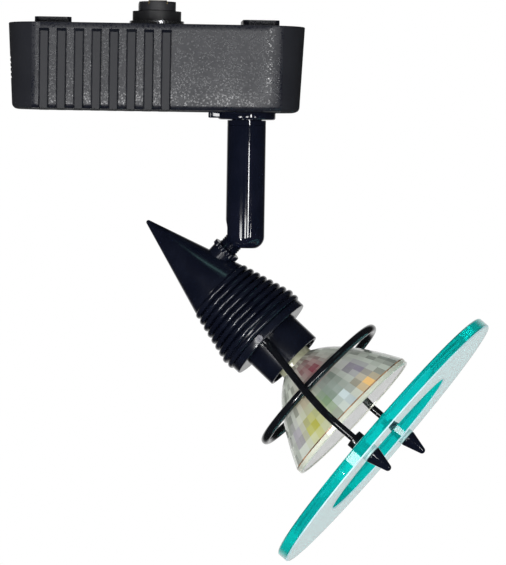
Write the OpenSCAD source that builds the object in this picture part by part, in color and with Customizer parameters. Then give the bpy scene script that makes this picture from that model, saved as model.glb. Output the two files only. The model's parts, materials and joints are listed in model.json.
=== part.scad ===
// Low-voltage track light: ribbed transformer housing, stem with a ball swivel,
// pointed cone head with a reflector lamp, and a glass disc on two bent arms.
// Millimetres. +Z is up, and z = 0 is the underside of the track that the light hangs from.

/* [Housing] */
// Length of the housing at its rim
housing_l = 97; // [88:1:120]
// Width of the housing at its rim
housing_w = 36; // [34:0.5:44]
// Height of the housing from rim to bottom
housing_h = 28; // [26:0.5:36]
// Wall of the housing
housing_wall = 2; // [1.6:0.1:2.6]
// Radius of the housing's upright corners
corner_r = 12; // [9:0.5:14]
// Draft of the housing's walls in degrees
draft = 3; // [1:0.25:4]
// Rounding of the bottom edge
edge_r = 1.6; // [0.8:0.1:1.8]
// Thickness of the rim that surrounds the cover
rim_t = 1; // [0.8:0.1:1.3]
// Gap between the rim and the track
seat_gap = 2; // [1.8:0.1:3]
// Ribs on each long side
rib_count = 8; // [4:1:9]
// Width of a rib
rib_w = 3.1; // [2:0.1:4]
// Distance between ribs
rib_pitch = 5.66; // [4.8:0.02:6]
// How far a rib stands out of the wall
rib_proud = 1; // [0.5:0.1:1.4]
// Centre of the first rib, from the housing's left end
rib_start = 11.7; // [10:0.1:14]
// Plain height above the ribs
rib_drop = 2; // [1:0.25:5]
// Vent slots in the left end
vent_count = 5; // [3:1:7]
// Height of a vent slot
vent_h = 0.75; // [0.5:0.05:0.9]
// Distance between vent slots
vent_pitch = 1.6; // [1.4:0.05:2]
// Width of a vent slot
vent_w = 16; // [10:0.5:18]
// Depth of the first vent slot below the rim
vent_drop = 11; // [7:0.25:12]

/* [Cover] */
// Thickness of the top cover
cover_t = 2.4; // [2:0.1:3]
// Gap round the cover
cover_gap = 0.15; // [0.1:0.05:0.3]
// Length of a seat pad
pad_l = 12; // [10:0.5:14]
// Width of a seat pad
pad_w = 20; // [14:0.5:22]
// Distance of a seat pad's centre from the middle
pad_x = 34; // [32:0.5:36]
// Radius of a cover screw's thread
screw_r = 1.1; // [0.9:0.05:1.3]
// Radius of a cover screw's head
screw_head_r = 2.1; // [1.8:0.05:2.4]
// Height of a cover screw's sunk head
screw_head_h = 1.2; // [1:0.05:1.4]
// Length of a cover screw below its head
screw_len = 7; // [5:0.5:9]
// Radius of a screw boss
boss_r = 2.8; // [2.4:0.1:3.2]

/* [Track lock] */
// Radius of the turret's shaft
shaft_r = 4.5; // [4:0.1:5.5]
// Bore of the turret for the leads
shaft_bore_r = 2.4; // [2.2:0.1:2.8]
// Radius of the turret's neck in the track's slot
neck_r = 8; // [7:0.1:8.8]
// Height of the neck above the track's underside
neck_h = 2.6; // [2:0.1:4]
// Length of the cross bar
bar_l = 28; // [24:0.5:30]
// Width of the cross bar
bar_w = 12; // [10:0.5:14]
// Height of the cross bar
bar_h = 2.8; // [2.4:0.1:5]
// Length of a contact blade
blade_l = 7; // [5:0.25:8]
// Thickness of a contact blade
blade_t = 0.8; // [0.5:0.1:1]
// Thickness of the lock lever
lever_t = 1.2; // [1:0.1:1.4]
// Width of the lock lever
lever_w = 6; // [5:0.25:8]
// Reach of the lock lever from the turret's axis
lever_reach = 20.5; // [19:0.25:22]
// Thickness of the turret's retaining clip
clip_t = 1; // [0.8:0.1:1.4]

/* [Stem] */
// Distance of the stem from the middle of the housing
stem_x = 30.1; // [28:0.1:32]
// Outer radius of the stem
stem_r = 6.4; // [6.1:0.05:7]
// Bore of the stem, which the ball sits in
stem_bore_r = 4.9; // [4.7:0.05:5]
// Rounding of the stem's closed end
stem_end_r = 4.1; // [3:0.1:4.6]
// Height of the ball's centre above the stem's end
ball_rise = 6.4; // [6.2:0.05:7]
// Distance of the ball's centre below the housing
ball_drop = 38.6; // [38:0.1:48]
// Width of the slot that the stud tilts in
slot_w = 7.2; // [7:0.05:7.4]
// Radius of the bush's flange
bush_flange_r = 9.5; // [8.5:0.1:11]
// Thickness of the bush's flange
bush_flange_t = 2.5; // [1.5:0.1:3.5]
// Radius of the bush's sleeve
bush_r = 7; // [6.6:0.1:7.6]
// Height of the sleeve above the housing's floor
bush_rise = 4; // [3.2:0.1:5]
// Reach of the bush's lug
lug_reach = 3.2; // [2:0.1:4]
// Width of the bush's lug
lug_w = 5; // [3:0.25:7]
// Radius of the spigot that turns in the bush
spigot_r = 5; // [4.6:0.1:5.4]
// Bore of the spigot for the leads
spigot_bore_r = 2.6; // [2.4:0.1:3]
// Depth of the spigot's plug in the stem
plug_h = 6; // [4:0.25:8]
// Thickness of the bush's nut
bush_nut_t = 2.6; // [2:0.1:3]
// Thickness of the thrust washer
washer_t = 0.8; // [0.5:0.1:1.2]
// Thickness of the retaining nut
retainer_t = 2.4; // [1.8:0.1:3]
// Wire of the friction spring
spring_wire = 0.8; // [0.6:0.05:1]
// Turns of the friction spring
spring_turns = 8; // [5:1:10]

/* [Swivel] */
// Radius of the ball
ball_r = 4.8; // [4.6:0.02:4.84]
// Radius of the stud
stud_r = 3.4; // [3.1:0.02:3.44]
// Bore of the stud for the leads
stud_bore_r = 1.9; // [1.7:0.05:2.1]
// Distance of the ball's centre from the cone's axis
stud_reach = 20.5; // [20:0.1:24]
// Distance of the stud from the cone's point
stud_t = 26.2; // [24:0.1:28]
// Radius of the lock nut's flange
nut_r = 4.85; // [4.6:0.05:5.2]
// Thickness of the lock nut
nut_t = 1.5; // [1:0.1:1.8]
// Grips round the lock nut
nut_grips = 20; // [12:1:24]
// Radius of the flat seat on the cone
seat_r = 4.3; // [4:0.1:4.6]
// Height of the flat seat above the cone at the stud
seat_rise = 1.6; // [1.5:0.05:1.7]
// Beam angle below level, at rest
head_tilt = 42; // [10:1:60]
// Turn of the head towards the front, at rest
head_yaw = 13.5; // [-30:0.5:30]

/* [Cone] */
// Length of the smooth cone
cone_l = 33.1; // [32:0.1:38]
// Rounding of the cone's point
tip_r = 0.75; // [0.4:0.05:1.2]
// Radius at the end of the smooth cone
cone_r = 11; // [10.6:0.1:12]
// Ribs on the cone
fin_count = 9; // [6:1:10]
// Distance between ribs
fin_pitch = 2.37; // [2.1:0.01:2.6]
// Crest radius of the first rib
fin_r0 = 11.8; // [11.2:0.1:12.2]
// Crest radius of the last rib
fin_r1 = 16.2; // [15.2:0.1:17]
// Depth of the grooves between ribs
fin_depth = 1.3; // [0.8:0.1:1.5]
// Width of a groove
groove_w = 0.5; // [0.3:0.05:0.8]
// Length of the base ring
base_l = 2.6; // [2.5:0.1:4]
// Radius of the base ring
base_r = 15.4; // [15:0.1:16.2]
// Wall of the cone
cone_wall = 2.2; // [1.8:0.1:2.4]

/* [Lamp holder] */
// Outer radius of the sleeve
sleeve_r = 10.55; // [10.2:0.05:10.6]
// Wall of the sleeve
sleeve_wall = 1.1; // [0.8:0.05:1.3]
// How far the sleeve stands out of the cone
sleeve_out = 10.4; // [8:0.1:12]
// How far the sleeve goes into the cone
sleeve_in = 10; // [8:0.25:11]
// Length of the lamp socket
socket_l = 9; // [7:0.25:9.5]
// Distance between the lamp's pins
pin_pitch = 5.33; // [4:0.01:6.4]
// Radius of a lamp pin
pin_r = 0.75; // [0.6:0.05:0.8]
// Length of a lamp pin
pin_l = 6; // [5:0.25:6.5]

/* [Lamp] */
// Radius of the reflector at its rim
rim_r = 25.2; // [24:0.1:25.4]
// Distance from the sleeve's end to the reflector's rim
rim_out = 27.5; // [26:0.1:30]
// Distance from the sleeve's end to the reflector's neck
neck_out = 1.6; // [1.2:0.1:2.4]
// Radius of the reflector's neck
neck_out_r = 6.4; // [6:0.1:7]
// Height of the plain band at the rim
rim_band = 2; // [1:0.1:3]
// Wall of the reflector
reflector_wall = 1.2; // [1:0.05:1.5]
// Facet rows of the reflector
facet_rows = 10; // [6:1:12]
// Facets round the reflector
facet_sectors = 44; // [32:2:56]
// Length of the lamp's base block
lamp_base_l = 11; // [9:0.25:11.5]
// Width of the lamp's base block
lamp_base_w = 14.4; // [12:0.1:15]
// Thickness of the lamp's base block
lamp_base_t = 8.8; // [8:0.1:9.4]
// Radius of the capsule
capsule_r = 3.6; // [3:0.1:4]
// Length of the capsule
capsule_l = 20; // [15:0.5:22]
// Thickness of the front glass
front_glass_t = 1.6; // [1:0.1:1.8]

/* [Arms and glass] */
// Radius of an arm's rod
arm_r = 1.25; // [1:0.05:1.4]
// Distance of an arm's root from the cone's axis
root_r = 13; // [12.7:0.05:13.3]
// Depth of an arm's root in the base
root_depth = 5; // [4:0.25:6]
// Distance of an arm from the axis at the glass
arm_out = 38.5; // [34:0.1:42]
// Straight length of an arm before its first bend
arm_lead = 1; // [0.5:0.1:3]
// Flare of the arms in degrees
arm_flare = 40; // [36:1:44]
// Radius of an arm's first bend
bend_1 = 5; // [3:0.25:6]
// Radius of an arm's second bend
bend_2 = 15; // [10:0.25:20]
// Radius of the ring's wire
ring_wire_r = 1.4; // [1:0.05:1.6]
// Distance of the ring from the base
ring_out = 21.7; // [20:0.1:24]
// Gap between the ring and the arms
ring_gap = 0.1; // [0.05:0.05:0.3]
// Outer radius of the glass
disc_r = 50.8; // [45:0.1:60]
// Thickness of the glass
disc_t = 4.1; // [3:0.1:6]
// Distance of the glass's front from the base
disc_out = 51.9; // [50:0.1:60]
// Radius of the hole through the glass
bore_r = 27.8; // [24:0.1:31]
// Lean of the glass about the wire ring, in degrees
disc_lean = -3; // [-4:0.5:4]
// Radius of a shoulder collar
collar_r = 2.95; // [2.4:0.05:3.4]
// Thickness of a shoulder collar
collar_t = 2.2; // [1.5:0.1:3]
// Wall of a bush in the glass
disc_bush_wall = 0.8; // [0.5:0.05:1]
// Thickness of the bush's flange
disc_bush_t = 0.8; // [0.5:0.05:1.2]
// Radius of a finial at its base
finial_r = 2.85; // [2.3:0.05:3.2]
// Length of a finial
finial_l = 7.6; // [6:0.1:10]
// Rounding of a finial's tip
finial_tip_r = 1.15; // [0.6:0.05:1.4]
// Thickness of the washer under a finial
cap_washer_t = 0.7; // [0.4:0.05:1]
// Radius of a set screw
grub_r = 1.1; // [0.8:0.05:1.2]
// How far a set screw stands out
grub_out = 0.6; // [0.3:0.05:1]

/* [Transformer] */
// Length of the circuit board
board_l = 57; // [56:0.5:64]
// Width of the circuit board
board_w = 24; // [20:0.5:26]
// Thickness of the circuit board
board_t = 1.6; // [1.2:0.1:2]
// Height of the board's posts
post_h = 3; // [2:0.25:4]
// Outer radius of the toroid
toroid_r = 10.5; // [9:0.25:11]
// Inner radius of the toroid
toroid_hole_r = 4; // [3:0.25:5]
// Height of the toroid
toroid_h = 8; // [6:0.25:9]
// Turns wound on the toroid
toroid_turns = 12; // [8:1:13]
// Radius of the toroid's winding wire
toroid_wire_r = 0.4; // [0.3:0.05:0.45]
// Radius of a lead with its insulation
lead_r = 0.7; // [0.5:0.05:0.8]
// Distance between the two leads
lead_pitch = 2; // [1.7:0.05:2.2]

/* [Hidden] */
$fn = 48;
hull_fn = 32;
eps = 0.01;
// Clearance between flat faces that are fixed together
fit_gap = 0.05;
// Radial clearance of a part that turns
run_gap = 0.05;
// Gap under a part that turns on a face
face_gap = 0.2;
// Gap between neighbours inside the housing
side_gap = 0.5;

// Levels of the housing and the stem
rim_z = -seat_gap;
bottom_z = rim_z - housing_h;
floor_z = bottom_z + housing_wall;
ledge_z = rim_z - cover_t;
stem_top_z = bottom_z - bush_flange_t - face_gap;
ball_z = bottom_z - ball_drop;
bush_top_z = floor_z + bush_rise;
board_z = floor_z + post_h;
board_top_z = board_z + board_t;
neck_rise_z = rim_z + face_gap;
bar_z = neck_h;
clip_z = ledge_z - face_gap - clip_t;

// Stations along the cone's axis, from its point
cone_slope = cone_r / cone_l;
fin_start = cone_l + fin_pitch * 0.63;
fins_end = fin_start + (fin_count - 0.5) * fin_pitch;
base_t = fins_end + base_l;
sleeve_end = base_t + sleeve_out;
sleeve_start = base_t - sleeve_in;
rim_t_pos = sleeve_end + rim_out;
neck_t = sleeve_end + neck_out;
lamp_back = neck_t - lamp_base_l;
socket_end = lamp_back - fit_gap;
socket_start = socket_end - socket_l;
ring_t = base_t + ring_out;
disc_front = base_t + disc_out;
disc_back = disc_front - disc_t;
collar_end = disc_back - disc_bush_t;
stud_cone_r = stud_t * cone_slope;
seat_h = stud_cone_r + seat_rise;
seat_s = stud_reach - seat_h;
finial_t = disc_front + cap_washer_t + 2 * fit_gap;
arm_end = finial_t + finial_l * 0.5;
grub_t = base_t - base_l / 2;

// Run of an arm between its two bends, which the wire ring lies inside
arm_start = base_t + arm_lead;
arm_rise = arm_out - root_r;
bends_rise = (bend_1 + bend_2) * (1 - cos(arm_flare));
slope_l = (arm_rise - bends_rise) / sin(arm_flare);
straight_t = arm_start + (bend_1 + bend_2) * sin(arm_flare) + slope_l * cos(arm_flare);
arm_at_ring = root_r + bend_1 * (1 - cos(arm_flare))
    + (ring_t - arm_start - bend_1 * sin(arm_flare)) * tan(arm_flare);
ring_r = arm_at_ring - (arm_r + ring_gap + ring_wire_r) / cos(arm_flare);

// Screw and post places
screw_x = housing_l / 2 - rim_t - boss_r - 4.2;
screw_y = housing_w / 2 - rim_t - boss_r - 3.6;
board_x = -screw_x + boss_r + side_gap + board_l / 2;
post_x = board_l / 2 - 4;
post_y = board_w / 2 - 4;
post_r = 2;
peg_r = 1;
bush_nut_r = bush_r + 2.6;
winding_gap = 0.45;
toroid_outer = toroid_r + winding_gap + 2 * toroid_wire_r;
toroid_x = board_x - board_l / 2 + toroid_outer + side_gap;

// Frames of the moving groups

module in_stem() {
    translate([stem_x, 0, 0]) rotate([0, 0, -head_yaw]) children();
}

module at_ball() {
    translate([0, 0, ball_z]) children();
}

// Z runs along the stud, away from the ball
module in_stud() {
    in_stem() at_ball() rotate([0, 180 + head_tilt, 0]) children();
}

// Z runs along the beam from the cone's point, and -X faces the ball
module in_head() {
    in_stem() at_ball() rotate([0, 90 + head_tilt, 0]) translate([stud_reach, 0, -stud_t]) children();
}

// The two arms lie across the stud: side -1 is the front one, side 1 the rear one
module on_arm(side) {
    in_head() rotate([0, 0, 90 * side]) children();
}

// The glass leans with the arms' ends, about the wire ring
module in_disc() {
    in_head() translate([0, 0, ring_t]) rotate([0, disc_lean, 0]) translate([0, 0, -ring_t]) children();
}

// Z runs along an arm's end
module on_disc(side) {
    in_disc() rotate([0, 0, 90 * side]) translate([arm_out, 0, 0]) children();
}

// Shapes that repeat

function unit(v) = v / norm(v);

function tangents(path) = [
    for (i = [0 : len(path) - 1])
        unit(path[min(i + 1, len(path) - 1)] - path[max(i - 1, 0)])
];

// Triangles between rings of points, open at both ends and capped
function tube_faces(rings, sides) = concat(
    [for (i = [0 : rings - 2], k = [0 : sides - 1])
        let (n = (k + 1) % sides)
        each [
            [i * sides + k, (i + 1) * sides + n, i * sides + n],
            [i * sides + k, (i + 1) * sides + k, (i + 1) * sides + n]
        ]],
    [for (k = [1 : sides - 2]) [0, k, k + 1]],
    [for (k = [1 : sides - 2])
        let (b = (rings - 1) * sides)
        [b, b + k + 1, b + k]]
);

// Round tube along a path that never runs parallel to the side vector
module tube_along(path, r, side, sides = 8) {
    dirs = tangents(path);
    points = [
        for (i = [0 : len(path) - 1])
            let (u = unit(cross(dirs[i], side)), v = cross(dirs[i], u))
            for (k = [0 : sides - 1])
                path[i] + r * (cos(360 * k / sides) * u + sin(360 * k / sides) * v)
    ];
    polyhedron(points, tube_faces(len(path), sides));
}

// Least gap between the turns of a coil, on points at least so many steps apart
function least_gap(path, r, apart) = min([
    for (i = [0 : len(path) - 1 - apart], j = [i + apart : len(path) - 1]) norm(path[i] - path[j])
]) - 2 * r;

// Smooth run through a few points, by a cubic between each pair
function spline(p, steps = 5) = [
    for (i = [0 : len(p) - 2])
        let (a = p[max(i - 1, 0)], b = p[i], c = p[i + 1], d = p[min(i + 2, len(p) - 1)])
        for (k = [0 : steps - (i == len(p) - 2 ? 0 : 1)])
            let (u = k / steps)
            0.5 * (2 * b + (c - a) * u + (2 * a - 5 * b + 4 * c - d) * u * u
                + (3 * b - a - 3 * c + d) * u * u * u)
];

module pipe(h, r, bore) {
    difference() {
        cylinder(h = h, r = r);
        translate([0, 0, -eps]) cylinder(h = h + 2 * eps, r = bore);
    }
}

module round_plate(l, w, h, r) {
    linear_extrude(h) {
        square([l - 2 * r, w], center = true);
        square([l, w - 2 * r], center = true);
        for (x = [-1, 1], y = [-1, 1])
            translate([x * (l / 2 - r), y * (w / 2 - r)]) circle(r);
    }
}

// Thin slice of the housing's outline, drawn in by the draft and by an inset
module housing_slice(z, inset, r) {
    d = (rim_z - z) * tan(draft) + inset;
    for (x = [-1, 1], y = [-1, 1])
        translate([x * (housing_l / 2 - d - r), y * (housing_w / 2 - d - r), z])
            cylinder(h = eps, r = r, $fn = hull_fn);
}

function wall_y(z) = housing_w / 2 - (rim_z - z) * tan(draft);

// Housing

module housing_outer() {
    hull() {
        housing_slice(rim_z - eps, 0, corner_r);
        housing_slice(bottom_z + edge_r, 0, corner_r - 1);
        for (k = [1 : 3])
            let (a = 30 * k)
            housing_slice(bottom_z + edge_r * (1 - sin(a)), edge_r * (1 - cos(a)), corner_r - 1);
    }
}

module housing_cavity() {
    r = corner_r - housing_wall;
    hull() {
        housing_slice(rim_z + 1, housing_wall, r);
        housing_slice(floor_z, housing_wall, r - 1);
    }
}

module housing_rib(x) {
    top = rim_z - rib_drop;
    translate([x - rib_w / 2, 0, 0]) rotate([90, 0, 90]) linear_extrude(rib_w)
        polygon([
            [-wall_y(top) + housing_wall / 2, top],
            [-wall_y(top), top],
            [-wall_y(top - rib_proud) - rib_proud, top - rib_proud],
            [-wall_y(bottom_z + edge_r / 2) - rib_proud, bottom_z + edge_r / 2],
            [-wall_y(bottom_z) - rib_proud + edge_r / 2, bottom_z],
            [-wall_y(bottom_z) + edge_r, bottom_z],
            [-wall_y(bottom_z) + edge_r, bottom_z + housing_wall / 2]
        ]);
}

module housing_shell() {
    color("#17181c") difference() {
        union() {
            difference() {
                housing_outer();
                housing_cavity();
            }
            for (side = [0, 180], k = [0 : rib_count - 1])
                let (x = -housing_l / 2 + rib_start + k * rib_pitch)
                rotate([0, 0, side]) housing_rib(side == 0 ? x : -x);
            for (x = [-1, 1], y = [-1, 1])
                translate([x * screw_x, y * screw_y, floor_z - eps])
                    cylinder(h = ledge_z - floor_z + eps, r = boss_r);
            for (x = [-1, 1], y = [-1, 1])
                translate([board_x + x * post_x, y * post_y, floor_z - eps]) {
                    cylinder(h = post_h + eps, r = post_r);
                    cylinder(h = post_h + board_t + eps, r = peg_r);
                }
        }
        translate([0, 0, ledge_z])
            round_plate(housing_l - 2 * rim_t, housing_w - 2 * rim_t, cover_t + 1, corner_r - rim_t);
        for (x = [-1, 1], y = [-1, 1])
            translate([x * screw_x, y * screw_y, ledge_z - screw_len])
                cylinder(h = screw_len + 1, r = screw_r);
        translate([stem_x, 0, bottom_z - 1]) cylinder(h = housing_wall + 2, r = bush_r + fit_gap);
        for (k = [0 : vent_count - 1])
            translate([-housing_l / 2 - 1, -vent_w / 2, rim_z - vent_drop - k * vent_pitch - vent_h])
                cube([housing_wall + housing_h * tan(draft) + 2, vent_w, vent_h]);
    }
}

module top_cover() {
    color("#1b1c20") difference() {
        union() {
            translate([0, 0, ledge_z]) round_plate(
                housing_l - 2 * rim_t - 2 * cover_gap, housing_w - 2 * rim_t - 2 * cover_gap,
                cover_t, corner_r - rim_t - cover_gap);
            for (x = [-1, 1])
                translate([x * pad_x, 0, rim_z - eps]) round_plate(pad_l, pad_w, seat_gap + eps, 2);
        }
        translate([0, 0, ledge_z - 1]) cylinder(h = cover_t + 2, r = shaft_r + run_gap);
        for (x = [-1, 1], y = [-1, 1])
            translate([x * screw_x, y * screw_y, 0]) {
                translate([0, 0, ledge_z - 1]) cylinder(h = cover_t + 2, r = screw_r + 0.2);
                translate([0, 0, rim_z - screw_head_h - fit_gap])
                    cylinder(h = screw_head_h + 1, r = screw_head_r + 0.15);
            }
    }
}

module cover_screws() {
    color("#8d9094") for (x = [-1, 1], y = [-1, 1])
        translate([x * screw_x, y * screw_y, rim_z - screw_head_h]) difference() {
            union() {
                cylinder(h = screw_head_h, r = screw_head_r);
                translate([0, 0, screw_head_h - cover_t - screw_len + 1])
                    cylinder(h = cover_t - screw_head_h + screw_len - 1 + eps, r = screw_r - 0.02);
            }
            for (a = [0, 90])
                rotate([0, 0, a]) translate([-1.2, -0.25, screw_head_h - 0.5]) cube([2.4, 0.5, 1]);
        }
}

// Stem bearing in the housing's floor

module stem_bush() {
    color("#101114") translate([stem_x, 0, 0]) difference() {
        union() {
            translate([0, 0, bottom_z - bush_flange_t]) cylinder(h = bush_flange_t, r = bush_flange_r);
            translate([0, 0, bottom_z - eps]) cylinder(h = bush_top_z - bottom_z + eps, r = bush_r);
            translate([-bush_flange_r - lug_reach, -lug_w / 2, bottom_z - bush_flange_t * 0.8])
                cube([lug_reach + 1, lug_w, bush_flange_t * 0.8]);
        }
        translate([0, 0, bottom_z - bush_flange_t - 1])
            cylinder(h = bush_top_z - bottom_z + bush_flange_t + 2, r = spigot_r + run_gap);
    }
}

module bush_nut() {
    color("#9a8a5a") translate([stem_x, 0, floor_z]) difference() {
        cylinder(h = bush_nut_t, r = bush_nut_r, $fn = 6);
        translate([0, 0, -1]) cylinder(h = bush_nut_t + 2, r = bush_r + fit_gap);
    }
}

// Electronic transformer

module circuit_board() {
    color("#2f5a3a") translate([board_x, 0, board_z]) difference() {
        translate([-board_l / 2, -board_w / 2, 0]) cube([board_l, board_w, board_t]);
        for (x = [-1, 1], y = [-1, 1])
            translate([x * post_x, y * post_y, -1]) cylinder(h = board_t + 2, r = peg_r + 0.1);
        translate([stem_x - board_x, 0, -1]) cylinder(h = board_t + 2, r = bush_nut_r + side_gap);
    }
}

toroid_z = board_top_z + 2 * toroid_wire_r + winding_gap + fit_gap;

module toroid_core() {
    color("#3a3a3c") translate([toroid_x, 0, toroid_z]) rotate_extrude()
        translate([(toroid_r + toroid_hole_r) / 2, toroid_h / 2]) {
            square([toroid_r - toroid_hole_r - 2, toroid_h], center = true);
            square([toroid_r - toroid_hole_r, toroid_h - 2], center = true);
            for (x = [-1, 1], y = [-1, 1])
                translate([x * ((toroid_r - toroid_hole_r) / 2 - 1), y * (toroid_h / 2 - 1)]) circle(1);
        }
}

// One wire wound round the core's section while it walks round the ring
toroid_sweep = 300;
toroid_half_w = (toroid_r - toroid_hole_r) / 2 + toroid_wire_r + winding_gap;
toroid_half_h = toroid_h / 2 + toroid_wire_r + winding_gap;
toroid_mid_r = (toroid_r + toroid_hole_r) / 2;

function superellipse(c, half) = half * sign(c) * pow(abs(c), 0.45);

function winding_point(u) =
    let (
        a = 360 * toroid_turns * u,
        b = toroid_sweep * u,
        r = toroid_mid_r + superellipse(cos(a), toroid_half_w)
    )
    [r * cos(b), r * sin(b), toroid_h / 2 + superellipse(sin(a), toroid_half_h)];

winding_steps = 12;
winding_path = [
    for (i = [0 : toroid_turns * winding_steps]) winding_point(i / (toroid_turns * winding_steps))
];

module toroid_winding() {
    color("#b5682e") translate([toroid_x, 0, toroid_z])
        tube_along(winding_path, toroid_wire_r, [0.0123, 0.0217, 1], 6);
}

cap_l = 4.6;
cap_w = 11;
cap_h = 9;

module film_capacitors() {
    color("#8a2f22") for (k = [0, 1])
        translate([cap_x + k * (cap_l + cap_gap), 0, board_top_z]) round_plate(cap_l, cap_w, cap_h, 1);
}

transistor_w = 10;
transistor_t = 4;
transistor_h = 9;
spreader_x = toroid_x + toroid_outer + side_gap;
spreader_t = 1.5;
spreader_h = 13;
cap_x = spreader_x + spreader_t + transistor_t + 2 * side_gap + cap_l / 2;
cap_gap = 1.2;
cap_end = cap_x + 1.5 * cap_l + cap_gap;

module heat_spreader() {
    color("#b9bcc0") translate([spreader_x, -board_w / 2 + 0.5, board_top_z])
        cube([spreader_t, board_w - 1, spreader_h]);
}

module power_transistors() {
    color("#1d1d1f") for (y = [-1, 1])
        translate([spreader_x + spreader_t, y * (transistor_w / 2 + 0.6) - transistor_w / 2, board_top_z + 2])
            difference() {
                union() {
                    cube([transistor_t, transistor_w, transistor_h]);
                    for (k = [-1, 0, 1])
                        translate([transistor_t / 2 - 0.3, transistor_w / 2 + k * 2.54 - 0.4, -2])
                            cube([0.6, 0.8, 2 + eps]);
                }
                translate([transistor_t / 2, transistor_w / 2, transistor_h - 2.6])
                    rotate([0, 90, 0]) cylinder(h = transistor_t + 1, r = 1.6, center = true);
            }
}

block_l = 7;
block_w = 12;
block_h = 8;
lead_room = 6.8;
block_x = cap_end + lead_room + block_l / 2;

module terminal_block() {
    color("#3f6f8f") translate([block_x, 0, board_top_z]) difference() {
        translate([-block_l / 2, -block_w / 2, 0]) cube([block_l, block_w, block_h]);
        for (y = [-1, 1])
            translate([0, y * block_w / 4, block_h - 3]) cylinder(h = 4, r = 1.6);
        for (x = [-1, 1], y = [-1, 1])
            translate([x * block_l / 2, y * block_w / 4, block_h / 3])
                rotate([0, 90, 0]) cylinder(h = 2, r = lead_r + 0.15, center = true);
    }
}

// Leads from the track contacts to the terminal block
lead_in_z = board_top_z + block_h / 3;

function input_route(y) = spline([
    [0, y * lead_pitch / 2, bar_z - 0.6],
    [0, y * lead_pitch / 2, clip_z - 1],
    [2.2, y * lead_pitch / 2, clip_z - 4.4],
    [cap_end + lead_room * 0.4, y * lead_pitch, (board_top_z + cap_h + lead_in_z) / 2 + 2],
    [block_x - block_l / 2 - 1.6, y * block_w / 4, lead_in_z + 0.7],
    [block_x - block_l / 2 + 0.8, y * block_w / 4, lead_in_z]
]);

module input_leads() {
    color("#d9d4c4") for (y = [-1, 1]) tube_along(input_route(y), lead_r, [0, 1, 0.01]);
}

// Leads from the terminal block down the stem to the ball
output_top_z = bush_top_z + washer_t + retainer_t + 4.6;
lead_stop_z = ball_z + ball_r + 0.9;

function output_route(y) = spline([
    [block_x + block_l / 2 - 0.8, y * block_w / 4, lead_in_z],
    [block_x + block_l / 2 + 1.6, y * block_w / 4, lead_in_z + 0.8],
    [(block_x + stem_x) / 2 + 2, y * lead_pitch * 0.8, output_top_z + 0.4],
    [stem_x - 0.4, y * lead_pitch / 2, output_top_z],
    [stem_x, y * lead_pitch / 2, bush_top_z],
    [stem_x, y * lead_pitch / 2, (bush_top_z + lead_stop_z) / 2],
    [stem_x, y * lead_pitch / 2, lead_stop_z]
]);

module output_leads() {
    color("#c9c4b4") for (y = [-1, 1]) tube_along(output_route(y), lead_r, [0, 1, 0.01]);
}

// Track lock: it turns a quarter turn to let go of the track

module lock_turret() {
    color("#202126") difference() {
        union() {
            translate([0, 0, clip_z - 1]) cylinder(h = neck_rise_z - clip_z + 1 + eps, r = shaft_r);
            translate([0, 0, neck_rise_z]) cylinder(h = bar_z - neck_rise_z + eps, r = neck_r);
            translate([0, 0, bar_z]) round_plate(bar_w, bar_l, bar_h, bar_w / 2 - eps);
        }
        translate([0, 0, clip_z - 2]) cylinder(h = bar_z - clip_z + 2, r = shaft_bore_r);
        translate([0, 0, clip_z]) difference() {
            cylinder(h = clip_t + 2 * fit_gap, r = shaft_r + 1);
            translate([0, 0, -1]) cylinder(h = clip_t + 3, r = shaft_r - 0.7);
        }
        for (y = [-1, 1])
            translate([-bar_w / 4 - fit_gap, y * (bar_l / 2 - blade_l / 2 - 0.8) - blade_l / 2 - fit_gap,
                bar_z + bar_h - blade_t])
                cube([bar_w / 2 + 2 * fit_gap, blade_l + 2 * fit_gap, blade_t + 1]);
        translate([0, 0, neck_rise_z - eps]) lever_outline(lever_t + fit_gap + eps, fit_gap);
    }
}

// Lever with a keyed eye round the neck and a rounded thumb end
module lever_outline(h, grow) {
    linear_extrude(h) {
        difference() {
            circle(neck_r + 1 + grow);
            circle(neck_r - 1.6 - grow);
        }
        translate([-lever_w / 2 - grow, neck_r - 1]) square([lever_w + 2 * grow, lever_reach - neck_r + 1 - lever_w / 2]);
        translate([0, lever_reach - lever_w / 2]) circle(lever_w / 2 + grow);
    }
}

module lock_lever() {
    color("#9b9ea3") translate([0, 0, neck_rise_z]) lever_outline(lever_t, 0);
}

// Radius of the ridge that presses on the track's conductor
ridge_r = 1;

module contact_blades() {
    color("#c79a3c") for (y = [-1, 1])
        translate([-bar_w / 4, y * (bar_l / 2 - blade_l / 2 - 0.8) - blade_l / 2, bar_z + bar_h - blade_t])
            {
                cube([bar_w / 2, blade_l, blade_t]);
                intersection() {
                    translate([bar_w / 4, blade_l / 2, blade_t - ridge_r / 2])
                        rotate([0, 90, 0]) cylinder(h = bar_w / 2, r = ridge_r, center = true);
                    cube([bar_w / 2, blade_l, blade_t + ridge_r]);
                }
            }
}

module turret_clip() {
    color("#8d9094") translate([0, 0, clip_z + fit_gap]) linear_extrude(clip_t) difference() {
        circle(shaft_r + 2.2);
        circle(shaft_r - 0.7 + fit_gap);
        translate([0, -1.2]) square([shaft_r + 4, 2.4]);
    }
}

// Stem

module stem_outer() {
    flat_r = stem_r - stem_end_r;
    end_z = -ball_rise;
    rotate_extrude() union() {
        translate([0, end_z + stem_end_r]) square([stem_r, stem_top_z - plug_rim - ball_z - end_z - stem_end_r]);
        translate([0, end_z]) square([flat_r, stem_end_r + eps]);
        intersection() {
            translate([flat_r, end_z + stem_end_r]) circle(stem_end_r);
            translate([0, end_z]) square([stem_r, stem_end_r]);
        }
    }
}

// Height of the spigot's rim, which closes the stem's top
plug_rim = 1.6;

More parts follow.
